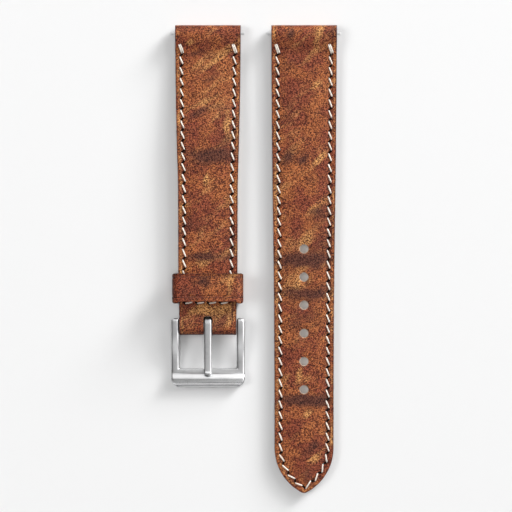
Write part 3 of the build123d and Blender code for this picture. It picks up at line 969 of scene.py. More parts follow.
class LongHalf(Half):
    """The half with the buckle holes and the pointed tip."""

    tip_radius = 12.3
    tip_round = 1.6
    tail_half = 7.2
    tail_drop = 0.3
    hole_radius = 1.09
    hole_spacing = 6.88
    hole_count = 6
    last_hole = 25.3
    hole_inset = 0.08
    flare_bottom = 0.14
    flare_top = 0.16
    flare_depth = 0.30
    flare_sink = 0.01
    dish_depth = 0.12
    dish_start = 1.1
    dish_run = 0.7

    @property
    def arc_offset(self) -> float:
        """How far the tip arcs' centres lie past the centre line."""
        return self.tip_radius - self.tail_half

    @property
    def side_length(self) -> float:
        """Distance at which the sides turn into the tip."""
        reach = math.sqrt(self.tip_radius**2 - self.arc_offset**2)
        half_angle = math.acos(self.arc_offset / self.tip_radius)
        return self.length + self.tip_round * (1 / math.sin(half_angle) - 1) - reach

    @property
    def nose_length(self) -> float:
        """Length of the nose's circle, from where the tip arcs touch it."""
        reach = self.tip_radius - self.tip_round
        return self.tip_round * (1 - math.sqrt(reach**2 - self.arc_offset**2) / reach)

    def top(self, s: float) -> float:
        """Height of the upper face, thinner towards the tip."""
        if s < STACK.lug_length:
            return super().top(s)
        share = (s - STACK.lug_length) / (self.length - STACK.lug_length)
        return STACK.body - self.tail_drop * share

    def half_width(self, s: float) -> float:
        """Half width at a distance s, round at the very tip."""
        if s <= self.side_length:
            return smooth_table(s, self.widths)
        down = s - self.side_length
        arc = math.sqrt(max(0.0, self.tip_radius**2 - down**2)) - self.arc_offset
        left = max(0.0, self.length - s)
        if left < self.nose_length:
            arc = min(arc, math.sqrt(max(0.0, 2 * self.tip_round * left - left**2)))
        return max(0.02, arc)

    def edge_distance(self, x: float, s: float) -> float:
        """Distance from the plan outline at x and s."""
        if s <= self.side_length:
            return super().edge_distance(x, s)
        return self.tip_radius - math.hypot(abs(x) + self.arc_offset, s - self.side_length)

    def hole_places(self) -> list[float]:
        """Distances of the buckle holes from the lug end."""
        last = self.length - self.last_hole
        return [last - self.hole_spacing * i for i in range(self.hole_count)]


# Stitch places

@dataclass(frozen=True)
class Knot:
    """A slit of the row: its place, the row's direction there and its left normal.

    Its end is -1 where the row starts with a doubled stitch, 1 where it ends with one.
    """

    x: float
    s: float
    along: Vector
    aside: Vector
    end: int = 0

    @property
    def ends_row(self) -> bool:
        """Whether a doubled stitch starts or ends here."""
        return self.end != 0

    def middle(self) -> Vector:
        """Middle of the slit, as X and -s: under the thread's end at a row's end."""
        if self.end:
            return self.leaving() if self.end < 0 else self.arriving()
        return Vector((self.x, -self.s))

    def leaving(self) -> Vector:
        """Where the next stitch leaves, as X and -s."""
        lead = STITCHES.end_lead if self.end < 0 else STITCHES.lead
        return Vector((self.x, -self.s)) + self.along * lead - self.aside * STITCHES.spread

    def arriving(self) -> Vector:
        """Where the last stitch arrives, as X and -s."""
        lead = STITCHES.end_lead if self.end > 0 else STITCHES.lead
        return Vector((self.x, -self.s)) - self.along * lead + self.aside * STITCHES.spread


def knots_along(path: Sequence[Vector], doubled_first: bool, doubled_last: bool) -> list[Knot]:
    """Space knots evenly along a finely divided path.

    Args:
        path: points as X and -s.
        doubled_first: whether the first stitch is doubled.
        doubled_last: whether the last stitch is doubled.

    Returns:
        The knots.
    """
    lengths = [0.0]
    for before, after in zip(path, path[1:]):
        lengths.append(lengths[-1] + (after - before).length)

    def at(distance: float) -> Vector:
        """Point at a distance along the path."""
        for i in range(1, len(path)):
            if lengths[i] >= distance:
                share = (distance - lengths[i - 1]) / (lengths[i] - lengths[i - 1])
                return path[i - 1].lerp(path[i], share)
        return path[-1]

    whole = lengths[-1]
    count = 2 * round(whole / STITCHES.pitch / 2)
    knots = []
    for i in range(count + 1):
        distance = whole * i / count
        point = at(distance)
        ahead = at(min(whole, distance + STITCHES.inset)) - at(max(0.0, distance - STITCHES.inset))
        along = ahead.normalized()
        end = -1 if doubled_first and i == 0 else 1 if doubled_last and i == count else 0
        knots.append(Knot(point.x, -point.y, along, Vector((-along.y, along.x)), end))
    return knots


def side_path(half: Half, start: float, end: float) -> list[Vector]:
    """The right side's stitch line between two distances, as X and -s."""
    count = 400
    points = []
    for i in range(count + 1):
        s = start + (end - start) * i / count
        points.append(Vector((half.half_width(s) - STITCHES.inset, -s)))
    return points


def short_row(half: ShortHalf, left: bool) -> list[Knot]:
    """Knots of one edge row of the short half, down the left or up the right."""
    path = side_path(half, STITCHES.start, half.cross_row - 0.25)
    if left:
        return knots_along([Vector((-point.x, point.y)) for point in path], True, False)
    return knots_along(path[::-1], False, True)


def cross_knots(half: ShortHalf) -> list[Knot]:
    """Slits at the left ends of the stitches across the short half."""
    s = half.cross_row + 0.25
    return [Knot(centre - 1.0, s, Vector((1.0, 0.0)), Vector((0.0, 1.0))) for centre in half.cross_centres()]


def long_row(half: LongHalf) -> list[Knot]:
    """Knots of the long half's row: down the left, round the tip and up the right."""
    path = side_path(half, STITCHES.start, half.side_length)
    radius = half.tip_radius - STITCHES.inset
    sweep = math.acos(half.arc_offset / radius)
    for i in range(1, 61):
        angle = sweep * i / 60
        x = radius * math.cos(angle) - half.arc_offset
        path.append(Vector((x, -half.side_length - radius * math.sin(angle))))
    left = [Vector((-point.x, point.y)) for point in path]
    return knots_along(left + path[-2::-1], True, True)


# Modelling of the leather

def mapped_grid(name: str, columns: int, rows: int, place: Callable[[int, int], Vector]) -> Piece:
    """Add a grid and lay its vertices on a surface.

    Args:
        name: the piece's name.
        columns: faces from side to side.
        rows: faces along the path.
        place: the point of a column and row, in metres.

    Returns:
        The sheet, still open.
    """
    deselect_all()
    bpy.ops.mesh.primitive_grid_add(x_subdivisions=columns, y_subdivisions=rows, size=2.0, calc_uvs=True)
    sheet = named(name)
    for vertex in sheet.data.vertices:
        column = round((vertex.co.x + 1) / 2 * columns)
        row = round((vertex.co.y + 1) / 2 * rows)
        vertex.co = place(column, row)
    sheet.data.update()
    return sheet


def outline_solid(name: str, outline: Sequence[Flat], low: float, high: float,
                  frame_of: Matrix) -> Piece:
    """Add a filled ring, give it an outline and extrude it.

    Args:
        name: the piece's name.
        outline: points of the outline, in millimetres.
        low: height of its lower face, in millimetres.
        high: height of its upper face, in millimetres.
        frame_of: where the outline's plane lies, in millimetres.

    Returns:
        The closed solid.
    """
    deselect_all()
    bpy.ops.mesh.primitive_circle_add(vertices=len(outline), radius=1.0, fill_type="NGON")
    solid = named(name)
    for vertex, (x, y) in zip(solid.data.vertices, outline):
        vertex.co = (x, y, low)
    edit(solid)
    bpy.ops.mesh.extrude_region_move(TRANSFORM_OT_translate={"value": (0, 0, high - low)})
    bpy.ops.object.mode_set(mode="OBJECT")
    solid.data.transform(Matrix.Scale(MM, 4) @ frame_of)
    recalculate(solid)
    return solid


def cut(piece: Piece, cutter: Piece, shaping: Shaping = Shaping.CUT_AWAY) -> None:
    """Cut a piece with another, which is then deleted.

    Args:
        piece: the piece that stays.
        cutter: the closed solid that cuts it.
        shaping: whether its inside goes or stays.
    """
    apply_modifier(piece, "BOOLEAN", operation=shaping.value, solver="EXACT", object=cutter,
                   material_mode="TRANSFER")
    bpy.data.objects.remove(cutter)


def use_material(piece: Piece, *materials: Material) -> None:
    """Give a piece its materials in order.

    Args:
        piece: the object.
        materials: its materials, the first for its present faces.
    """
    piece.data.materials.clear()
    for material in materials:
        piece.data.materials.append(material)


@dataclass(frozen=True)
class Station:
    """A row of an upper: its place on the side view and its thickness.

    Attributes:
        s: distance from the lug end.
        z: height of the outer face.
        rise: direction in which crown and groove move the face, 1 up or -1 down.
        swell: share of the crown that the row has.
        thickness: the leather's thickness there.
    """

    s: float
    z: float
    rise: int
    swell: float
    thickness: float


def steps(start: float, end: float, pitch: float) -> list[float]:
    """Evenly spaced values from start to just before end."""
    count = max(1, round(abs(end - start) / pitch))
    return [start + (end - start) * i / count for i in range(count)]


def lug_stations() -> list[Station]:
    """Rows from the flap's end round the lug loop to the top."""
    flap_z = STACK.lining + STACK.glue
    radius = STACK.lug_thickness / 2
    rows = [Station(s, flap_z, -1, 0.0, STACK.flap) for s in steps(STACK.lug_flap, 4.2, 0.9)]
    for s, z, thickness in ((4.2, 0.83, 0.42), (3.95, 0.80, 0.5), (3.77, 0.62, 0.62), (3.74, 0.36, 0.72),
                            (3.68, 0.12, 0.8), (3.5, 0.02, 0.86), (3.2, 0.0, 0.88), (2.6, 0.0, 0.9)):
        rows.append(Station(s, z, -1, 0.0, thickness))
    for i in range(STACK.turn_steps + 1):
        angle = math.pi * i / STACK.turn_steps
        rows.append(Station(radius - radius * math.sin(angle), radius - radius * math.cos(angle), 1, 0.0,
                            STACK.upper))
    return rows


def top_stations(half: Half, end: float) -> list[Station]:
    """Rows along the upper face, after the lug loop."""
    rows = []
    for s in steps(STACK.lug_thickness / 2 + 0.3, end, 0.3):
        rows.append(Station(s, half.top(s), 1, min(1.0, (s - 1.8) / 4.0), STACK.upper))
    return rows


def short_stations(half: ShortHalf) -> list[Station]:
    """Rows of the short half's upper, from flap to flap."""
    brow = half.length - half.fold_thickness / 2
    rows = lug_stations() + top_stations(half, brow)
    middle = half.lift + half.fold_thickness / 2
    radius = half.fold_thickness / 2
    for i in range(STACK.turn_steps + 1):
        angle = math.pi * i / STACK.turn_steps
        rows.append(Station(brow + radius * math.sin(angle), middle + radius * math.cos(angle), 1, 0.0,
                            STACK.upper))
    for s in steps(brow - 0.4, half.flap_start + 0.1, 0.4) + [half.flap_start + 0.1]:
        rows.append(Station(s, half.lift, -1, 0.0, STACK.lining))
    return rows


def long_stations(half: LongHalf) -> list[Station]:
    """Rows of the long half's upper, from its flap to the tip."""
    rows = lug_stations() + top_stations(half, half.length - 3.0)
    for left in (3.0, 2.75, 2.5, 2.25, 2.0, 1.75, 1.5, 1.28, 1.08, 0.90, 0.74, 0.58, 0.44, 0.32, 0.22, 0.14,
                 0.08, 0.035, 0.0):
        s = half.length - left
        rows.append(Station(s, half.top(s), 1, 1.0, STACK.upper))
    return rows


class Columns:
    """Spreads the columns: close together by the edges, wider in the middle."""

    band = 2.3
    band_count = 14
    middle_count = 32

    @property
    def count(self) -> int:
        """Number of faces from side to side."""
        return 2 * self.band_count + self.middle_count

    def across(self, column: int, half_width: float) -> float:
        """X of a column, running from the right edge to the left.

        Args:
            column: which column.
            half_width: the strap's half width there.

        Returns:
            Millimetres from the centre line.
        """
        band = min(self.band, 0.30 * half_width)
        if column <= self.band_count:
            return half_width - band * column / self.band_count
        if column >= self.count - self.band_count:
            return -half_width + band * (self.count - column) / self.band_count
        inner = half_width - band
        return inner - 2 * inner * (column - self.band_count) / self.middle_count


COLUMNS = Columns()


@dataclass
class LeatherHalf:
    """Upper, lining, filler board and tape of one half.

    Attributes:
        shape: the half's shape.
        stations: rows of its upper.
        rows: its stitch rows.
        finishes: materials by name.
    """

    shape: Half
    stations: Sequence[Station]
    rows: Sequence[Sequence[Knot]]
    finishes: dict[str, Material]

    def upper_point(self, column: int, row: int) -> Vector:
        """Point of the upper's outer face at a column and row."""
        station = self.stations[row]
        x = COLUMNS.across(column, self.shape.half_width(station.s))
        z = station.z
        if station.rise > 0:
            z += station.swell * self.shape.crown(x, station.s)
            if station.swell > 0:
                z -= self.shape.groove(x, station.s) + self.hole_dish(x, station.s)
        elif station.z > 0.9:
            z += STITCHES.underside * self.shape.groove(x, station.s)
        return self.shape.place(x, station.s, z)

    def hole_dish(self, x: float, s: float) -> float:
        """Depth to which the leather is pressed in round a buckle hole."""
        shape = self.shape
        if not isinstance(shape, LongHalf):
            return 0.0
        reach = min(math.hypot(x, s - hole) for hole in shape.hole_places())
        return shape.dish_depth * min(1.0, max(0.0, 1 - (reach - shape.dish_start) / shape.dish_run)) ** 2

    def slit_cutters(self, row: Sequence[Knot], low: float, high: float, top: bool) -> Piece:
        """The slits of one row as one cutter.

        Args:
            row: the row's knots.
            low: bottom of the slits from the face, in millimetres.
            high: top of the slits from the face, in millimetres.
            top: whether they are in the upper face.

        Returns:
            The cutter.
        """
        lean = math.hypot(STITCHES.slit_across, STITCHES.slit_along)
        radius = STITCHES.slit_width / 2
        outline = []
        for centre, start in ((lean, -90.0), (-lean, 90.0)):
            for i in range(7):
                angle = math.radians(start + 30 * i)
                outline.append((centre + radius * math.cos(angle), radius * math.sin(angle)))
        model = outline_solid("slit_model", outline, low, high, Matrix())
        # the slits' walls are near black, painted shade
        use_material(model, self.finishes["cut"])
        copies = []
        for knot in row:
            height = self.shape.top(knot.s) if top else self.shape.base(knot.s)
            direction = knot.along * STITCHES.slit_along - knot.aside * STITCHES.slit_across
            turn = Matrix.Rotation(math.atan2(direction.y, direction.x), 4, "Z")
            if knot.ends_row:
                turn = turn @ Matrix.Diagonal((0.35, 0.8, 1.0, 1.0))
            place = knot.middle()
            spot = self.shape.place(place.x, -place.y, height)
            copies.append(copy_of(model, Matrix.Translation(spot) @ turn))
        bpy.data.objects.remove(model)
        return join(copies, "slit_cutters")

    def hole_cutters(self, inset: float = 0.0) -> Piece:
        """The buckle holes or the tongue slot as one cutter.

        Args:
            inset: how much smaller the buckle holes' radius is.

        Returns:
            The cutter.
        """
        shape = self.shape
        if isinstance(shape, LongHalf):
            cutters = []
            for s in shape.hole_places():
                deselect_all()
                radius = (shape.hole_radius - inset) * MM
                bpy.ops.mesh.primitive_cylinder_add(vertices=40, radius=radius, depth=12 * MM,
                                                    location=shape.place(0.0, s, 0.0))
                cutters.append(named("hole_cutter"))
            cutter = join(cutters, "hole_cutters")
        else:
            half, corner = shape.slot_half, shape.slot_corner
            back = shape.axis_s - shape.slot_back + corner
            outline = [(half, -shape.slot_open)]
            for side, start in ((half - corner, 0), (corner - half, 90)):
                for i in range(7):
                    angle = math.radians(start + 15 * i)
                    outline.append((side + corner * math.cos(angle), -back + corner * math.sin(angle)))
            outline.append((-half, -shape.slot_open))
            place = Matrix.Translation((shape.centre, shape.top_y, 0.0))
            cutter = outline_solid("slot_cutter", outline, -2.0, 9.0, place)
        # the tongue slot's walls are near black, painted shade; the buckle holes show raw cut leather
        use_material(cutter, self.finishes["raw" if isinstance(shape, LongHalf) else "cut"])
        return cutter

    def flare_cutters(self) -> Piece:
        """Cones that chamfer the rims of the buckle holes as one cutter."""
        shape = self.shape
        cutters = []
        for s in shape.hole_places():
            rim = shape.top(s) + shape.crown(shape.hole_radius, s) - shape.dish_depth
            bottom = (shape.hole_radius - shape.flare_bottom) * MM
            top = (shape.hole_radius + shape.flare_top) * MM
            deselect_all()
            bpy.ops.mesh.primitive_cone_add(vertices=40, radius1=bottom, radius2=top,
                                            depth=shape.flare_depth * MM,
                                            location=shape.place(0.0, s, rim - shape.flare_sink))
            cutters.append(named("flare_cutter"))
        cutter = join(cutters, "flare_cutters")
        use_material(cutter, self.finishes["raw"])
        return cutter

    def build_upper(self) -> Piece:
        """The upper leather with its loops, groove, holes and slits."""
        name = f"{self.shape.name}_upper"
        upper = mapped_grid(name, COLUMNS.count, len(self.stations) - 1, self.upper_point)
        group = upper.vertex_groups.new(name="thickness")
        by_row: dict[float, list[int]] = {}
        for vertex, row in zip(upper.data.vertices, self.rows_of(upper)):
            by_row.setdefault(self.stations[row].thickness, []).append(vertex.index)
        for thickness, indices in by_row.items():
            group.add(indices, thickness / STACK.upper, "REPLACE")
        use_material(upper, self.finishes["upper"], self.finishes["edge"], self.finishes["flesh"])
        apply_modifier(upper, "SOLIDIFY", thickness=STACK.upper * MM, offset=-1.0, vertex_group="thickness",
                       material_offset=2, material_offset_rim=1)
        holed = isinstance(self.shape, LongHalf)
        if not holed:
            cut(upper, self.hole_cutters())
        apply_modifier(upper, "BEVEL", width=0.09 * MM, segments=2, limit_method="ANGLE",
                       angle_limit=SHARP, material=1)
        for row in self.rows:
            cut(upper, self.slit_cutters(row, -0.72, 0.5, True))
        if holed:
            cut(upper, self.hole_cutters(self.shape.hole_inset))
            cut(upper, self.flare_cutters())
        upper.vertex_groups.clear()
        recalculate(upper)
        smooth(upper, 40)
        return upper

    def rows_of(self, sheet: Piece) -> list[int]:
        """Row number of every vertex of a fresh grid."""
        return [index // (COLUMNS.count + 1) for index in range(len(sheet.data.vertices))]

    def slab(self, name: str, rows: Sequence[float], columns: Sequence[float] | None,
             low: Callable[[float, float], float], high: Callable[[float, float], float]) -> Piece:
        """A flat layer of the half: its underside as a grid, extruded up to its top.

        Args:
            name: the piece's name.
            rows: distances from the lug end.
            columns: X of the inner columns, right to left, or None for the upper's columns.
            low: height of its underside at x and s.
            high: height of its top at x and s.

        Returns:
            The closed layer.
        """
        shape = self.shape

        def across(column: int, s: float) -> float:
            """X of a column."""
            half_width = shape.half_width(s)
            if columns is None:
                return COLUMNS.across(column, half_width)
            if column in (0, len(columns) + 1):
                return half_width if column == 0 else -half_width
            reach = max(abs(value) for value in columns)
            return columns[column - 1] * min(1.0, 0.98 * half_width / reach)

        def place(column: int, row: int) -> Vector:
            """Point of the underside."""
            x = across(column, rows[row])
            return shape.place(x, rows[row], low(x, rows[row]))

        count = COLUMNS.count if columns is None else len(columns) + 1
        layer = mapped_grid(name, count, len(rows) - 1, place)
        edit(layer)
        bpy.ops.mesh.extrude_region_move(TRANSFORM_OT_translate={"value": (0, 0, 0.1 * MM)})
        mesh = bmesh.from_edit_mesh(layer.data)
        for vertex in mesh.verts:
            if vertex.select:
                x = vertex.co.x / MM - shape.centre
                s = shape.top_y - vertex.co.y / MM
                vertex.co.z = high(x, s) * MM
        bmesh.update_edit_mesh(layer.data)
        bpy.ops.object.mode_set(mode="OBJECT")
        recalculate(layer)
        return layer

    def row_values(self, start: float, end: float, pitch: float) -> list[float]:
        """Distances for a layer's rows, closer together round a pointed tip."""
        if end < self.shape.length or not isinstance(self.shape, LongHalf):
            return steps(start, end, pitch) + [end]
        near = [3.0, 2.5, 2.0, 1.6, 1.28, 1.0, 0.74, 0.5, 0.32, 0.18, 0.08, 0.0]
        return steps(start, end - near[0], pitch) + [end - left for left in near]

    def build_lining(self) -> Piece:
        """The lining with its own groove and slits on the underside."""
        shape = self.shape
        end = shape.length if isinstance(shape, LongHalf) else shape.flap_start
        rows = self.row_values(STACK.lining_start, end, 0.4)
        lining = self.slab(f"{shape.name}_lining", rows, None,
                           lambda x, s: shape.base(s) + STITCHES.underside * shape.groove(x, s),
                           lambda x, s: shape.base(s) + STACK.lining)
        self.paint_sides(lining, self.finishes["lining"])
        if isinstance(shape, LongHalf):
            cut(lining, self.hole_cutters())
        for row in self.rows[:2]:
            cut(lining, self.slit_cutters(row, -0.4, 0.6, False))
        recalculate(lining)
        smooth(lining, 40)
        return lining

    def paint_sides(self, layer: Piece, material: Material) -> None:
        """Give a layer its material and its upright sides the edge paint."""
        use_material(layer, material, self.finishes["edge"])
        for face in layer.data.polygons:
            if abs(face.normal.z) < 0.3 and face.area > 0:
                face.material_index = 1

    def build_filler(self) -> Piece:
        """The filler board between upper and lining."""
        shape = self.shape
        end = shape.length if isinstance(shape, LongHalf) else shape.filler_end
        edge = STACK.channel_half

        def low(x: float, s: float) -> float:
            """Underside: over the flap, then over the tape."""
            over_flap = STACK.over_flap * min(1.0, max(0.0, (STACK.flap_clear - s) / 0.5))
            over_tape = STACK.over_tape if abs(x) < edge else 0.0
            return shape.base(s) + STACK.lining + STACK.glue + max(over_flap, over_tape)

        rows = self.row_values(STACK.filler_start, end, 0.6)
        filler = self.slab(f"{shape.name}_filler", rows, (4.2, 4.05, 0.0, -4.05, -4.2), low,
                           lambda x, s: shape.top(s) - STACK.upper - STACK.glue)
        self.paint_sides(filler, self.finishes["board"])
        cut(filler, self.hole_cutters())
        recalculate(filler)
        smooth(filler, 40)
        return filler

    def build_tape(self) -> Piece:
        """The reinforcing tape under the filler board."""
        shape = self.shape
        end = shape.side_length if isinstance(shape, LongHalf) else shape.flap_start
        level = STACK.lining + STACK.glue
        deselect_all()
        bpy.ops.mesh.primitive_cube_add(size=1.0)
        tape = named(f"{shape.name}_tape")
        select_edges(tape, lambda edge: abs(edge.verts[0].co.y - edge.verts[1].co.y) > 0.5)
        bpy.ops.mesh.subdivide(number_cuts=59)
        bpy.ops.object.mode_set(mode="OBJECT")
        for vertex in tape.data.vertices:
            s = STACK.tape_start + (end - STACK.tape_start) * (0.5 - vertex.co.y)
            z = shape.base(s) + level + (STACK.tape_top if vertex.co.z > 0 else STACK.tape_bottom)
            vertex.co = shape.place(STACK.tape_width * vertex.co.x, s, z)
        use_material(tape, self.finishes["tape"])
        if isinstance(shape, LongHalf):
            cut(tape, self.hole_cutters())
        recalculate(tape)
        return tape

    def paint(self, piece: Piece) -> None:
        """Paint the golden, dark and darkening masks on a piece's vertices, painted highlight and shade among
        them.
        """
        paint_patches(piece, self.shape.patches, self.shape.centre, self.shape.top_y, self.darkness, self.painted_margin_light)

    def darkness(self, x: float, s: float) -> float:
        """Dark edge dye by the edges, with painted shade in the stitch groove, in the creases and at the
        fold.
        """
        edge = self.shape.edge_distance(x, s)
        rim = max(0.0, 1 - edge / 0.35)
        return min(1.0, 0.9 * rim + 1.8 * self.shape.groove(x, s) + self.shape.crease(x, s))

    def painted_margin_light(self, x: float, s: float) -> Flat:
        """Painted highlight along the outer margins, stronger on the left, and painted shade between the edge
        and the stitches on the right.
        """
        edge = self.shape.edge_distance(x, s)
        if x < 0:
            return 0.5 * max(0.0, 1 - abs(edge - 0.68) / 0.45), 0.0
        return 0.35 * max(0.0, 1 - abs(edge - 0.45) / 0.3), 0.8 * max(0.0, 1 - abs(edge - 1.0) / 0.4)

    def build(self) -> None:
        """Build all four layers and set them on their body."""
        shape = self.shape
        layers = (
            (self.build_upper(), "leather_upper", f"{shape.name}_upper_leather"),
            (self.build_lining(), "leather_lining", f"{shape.name}_lining_leather"),
            (self.build_filler(), "filler_board", f"{shape.name}_filler_board"),
            (self.build_tape(), "tape", f"{shape.name}_reinforcement_tape"),
        )
        self.paint(layers[0][0])
        for piece, slot, node in layers:
            finish_piece(piece, shape.body, slot, [node])


def paint_patches(piece: Piece, patches: Sequence[Patch], centre: float, top_y: float,
                  darkness: Callable[[float, float], float],
                  painted_margin_light: Callable[[float, float], Flat]) -> None:
    """Write the patch masks as a colour attribute.

    Args:
        piece: the leather piece.
        patches: its golden and dark patches.
        centre: X of the half's centre line, in millimetres.
        top_y: Y of its lug end, in millimetres.
        darkness: darkening at x and s.
        painted_margin_light: painted highlight and painted shade at x and s, apart from the patches.
    """
    attribute = piece.data.color_attributes.new("patches", "FLOAT_COLOR", "POINT")
    for vertex, entry in zip(piece.data.vertices, attribute.data):
        x = vertex.co.x / MM - centre
        s = top_y - vertex.co.y / MM
        golden, dark = painted_margin_light(x, s)
        for patch in patches:
            if abs(s - patch.down) < 2.6 * patch.long + 1.0:
                weight = patch.weight(x, s) * abs(patch.strength)
                golden = max(golden, weight if patch.strength > 0 else 0.0)
                dark = max(dark, weight if patch.strength < 0 else 0.0)
        entry.color = (golden, dark, darkness(x, s), 1.0)


class Stitching:
    """Saddle stitches of one row, on the upper face and on the underside."""

    model_length = 2.0
    rings = ((1.0, -0.62, 0.12), (0.985, -0.24, 0.14), (0.90, -0.07, 0.165), (0.66, -0.01, 0.185),
             (0.0, 0.03, 0.19))

    def __init__(self, thread: Material) -> None:
        """Model the one stitch that all are copied from.

        Args:
            thread: the thread's material.
        """
        self.model = self.build_model()
        use_material(self.model, thread)

    def build_model(self) -> Piece:
        """One stitch along X, with both ends turned down into their slits."""
        rings = [(-x, z, r) for x, z, r in self.rings] + [(x, z, r) for x, z, r in self.rings[-2::-1]]
        sides = 8

        def place(column: int, row: int) -> Vector:
            """Point round a ring of the thread."""
            x, z, radius = rings[row]
            before = rings[max(0, row - 1)]
            after = rings[min(len(rings) - 1, row + 1)]
            along = Vector((after[0] - before[0], 0.0, after[1] - before[1])).normalized()
            angle = 2 * math.pi * column / sides
            normal = Vector((-along.z, 0.0, along.x))
            offset = normal * math.cos(angle) * radius - Vector((0, 1, 0)) * math.sin(angle) * radius
            return (Vector((x, 0.0, z)) + offset) * MM

        stitch = mapped_grid("stitch_model", sides, len(rings) - 1, place)
        recalculate(stitch, merge=0.001 * MM)
        select_edges(stitch, lambda edge: edge.is_boundary)
        bpy.ops.mesh.edge_face_add()
        bpy.ops.object.mode_set(mode="OBJECT")
        recalculate(stitch)
        smooth(stitch, 60)
        return stitch

    def copy_between(self, start: Vector, end: Vector, below: bool = False) -> Piece:
        """Copy the stitch so that its ends stand at two points.

        Args:
            start: one end on the leather's face, in metres.
            end: the other end.
            below: whether the stitch lies on the underside.

        Returns:
            The copy.
        """
        run = end - start
        along = run.normalized()
        up = Vector((0, 0, -1 if below else 1))
        aside = up.cross(along).normalized()
        normal = along.cross(aside)
        turn = Matrix((along, aside, normal)).transposed().to_4x4()
        stretch = Matrix.Diagonal((run.length / (self.model_length * MM), 1.0, 1.0, 1.0))
        return copy_of(self.model, Matrix.Translation((start + end) / 2) @ turn @ stretch)

    def row(self, name: str, shape: Half, knots: Sequence[Knot], locked: Sequence[int]) -> Piece:
        """All stitches of a row.

        Args:
            name: the piece's name.
            shape: the half that is stitched.
            knots: the row's knots.
            locked: the stitches that are doubled.

        Returns:
            The joined row.
        """
        def on_top(point: Vector) -> Vector:
            """Point of the thread's centre on the upper face."""
            s = -point.y
            z = shape.top(s) + shape.crown(point.x, s) - shape.groove(point.x, s) + STITCHES.rise
            return shape.place(point.x, s, z)

        def below(point: Vector) -> Vector:
            """Point of the thread's centre on the underside."""
            s = -point.y
            return shape.place(point.x, s, shape.base(s) + STITCHES.back_rise)

        stitches = []
        for i in range(len(knots) - 1):
            start = knots[i].leaving()
            end = knots[i + 1].arriving()
            if i in locked:
                along = (end - start).normalized()
                aside = Vector((-along.y, along.x)) * STITCHES.doubled_apart
                stitches.append(self.copy_between(on_top(start + aside), on_top(end + aside)))
                stitches.append(self.copy_between(on_top(start - aside), on_top(end - aside)))
            else:
                stitches.append(self.copy_between(on_top(start), on_top(end)))
            if 0 < i < len(knots) - 2:
                back_start = below(knots[i].arriving())
                back_end = below(knots[i + 1].leaving())
                stitches.append(self.copy_between(back_start, back_end, True))
        return join(stitches, name)

    def cross_row(self, shape: ShortHalf) -> Piece:
        """The four stitches across the short half, half under the keeper."""
        stitches = []
        for i, centre in enumerate(shape.cross_centres()):
            ends = []
            for way in (-1, 1):
                s = shape.cross_row + 0.2 - 0.12 * way
                z = shape.top(s) + shape.crown(centre, s) + STITCHES.rise
                ends.append(shape.place(centre + STITCHES.cross_half * way, s, z))
            stitches.append(self.copy_between(*ends))
            if i < STITCHES.cross_count - 1:
                bottom = [shape.place(centre + reach, shape.cross_row, shape.base(shape.cross_row) + 0.2)
                          for reach in (0.95, 1.95)]
                stitches.append(self.copy_between(*bottom, True))
        return join(stitches, "short_cross_stitches")

    def build(self, short: ShortHalf, long: LongHalf, rows: dict[str, list[Knot]]) -> None:
        """Build every row and set it on its body.

        Args:
            short: the short half.
            long: the long half.
            rows: the knots by row name.
        """
        left = self.row("short_stitches_left", short, rows["left"], [0])
        finish_piece(left, short.body, "thread", ["short_stitching_left"])
        last = len(rows["right"]) - 2
        right = self.row("short_stitches_right", short, rows["right"], [last])
        finish_piece(right, short.body, "thread", ["short_stitching_right"])
        finish_piece(self.cross_row(short), short.body, "thread", ["short_cross_stitching"])
        last = len(rows["long"]) - 2
        whole = self.row("long_stitches", long, rows["long"], [0, last])
        finish_piece(whole, long.body, "thread", ["long_stitching"])
        bpy.data.objects.remove(self.model)


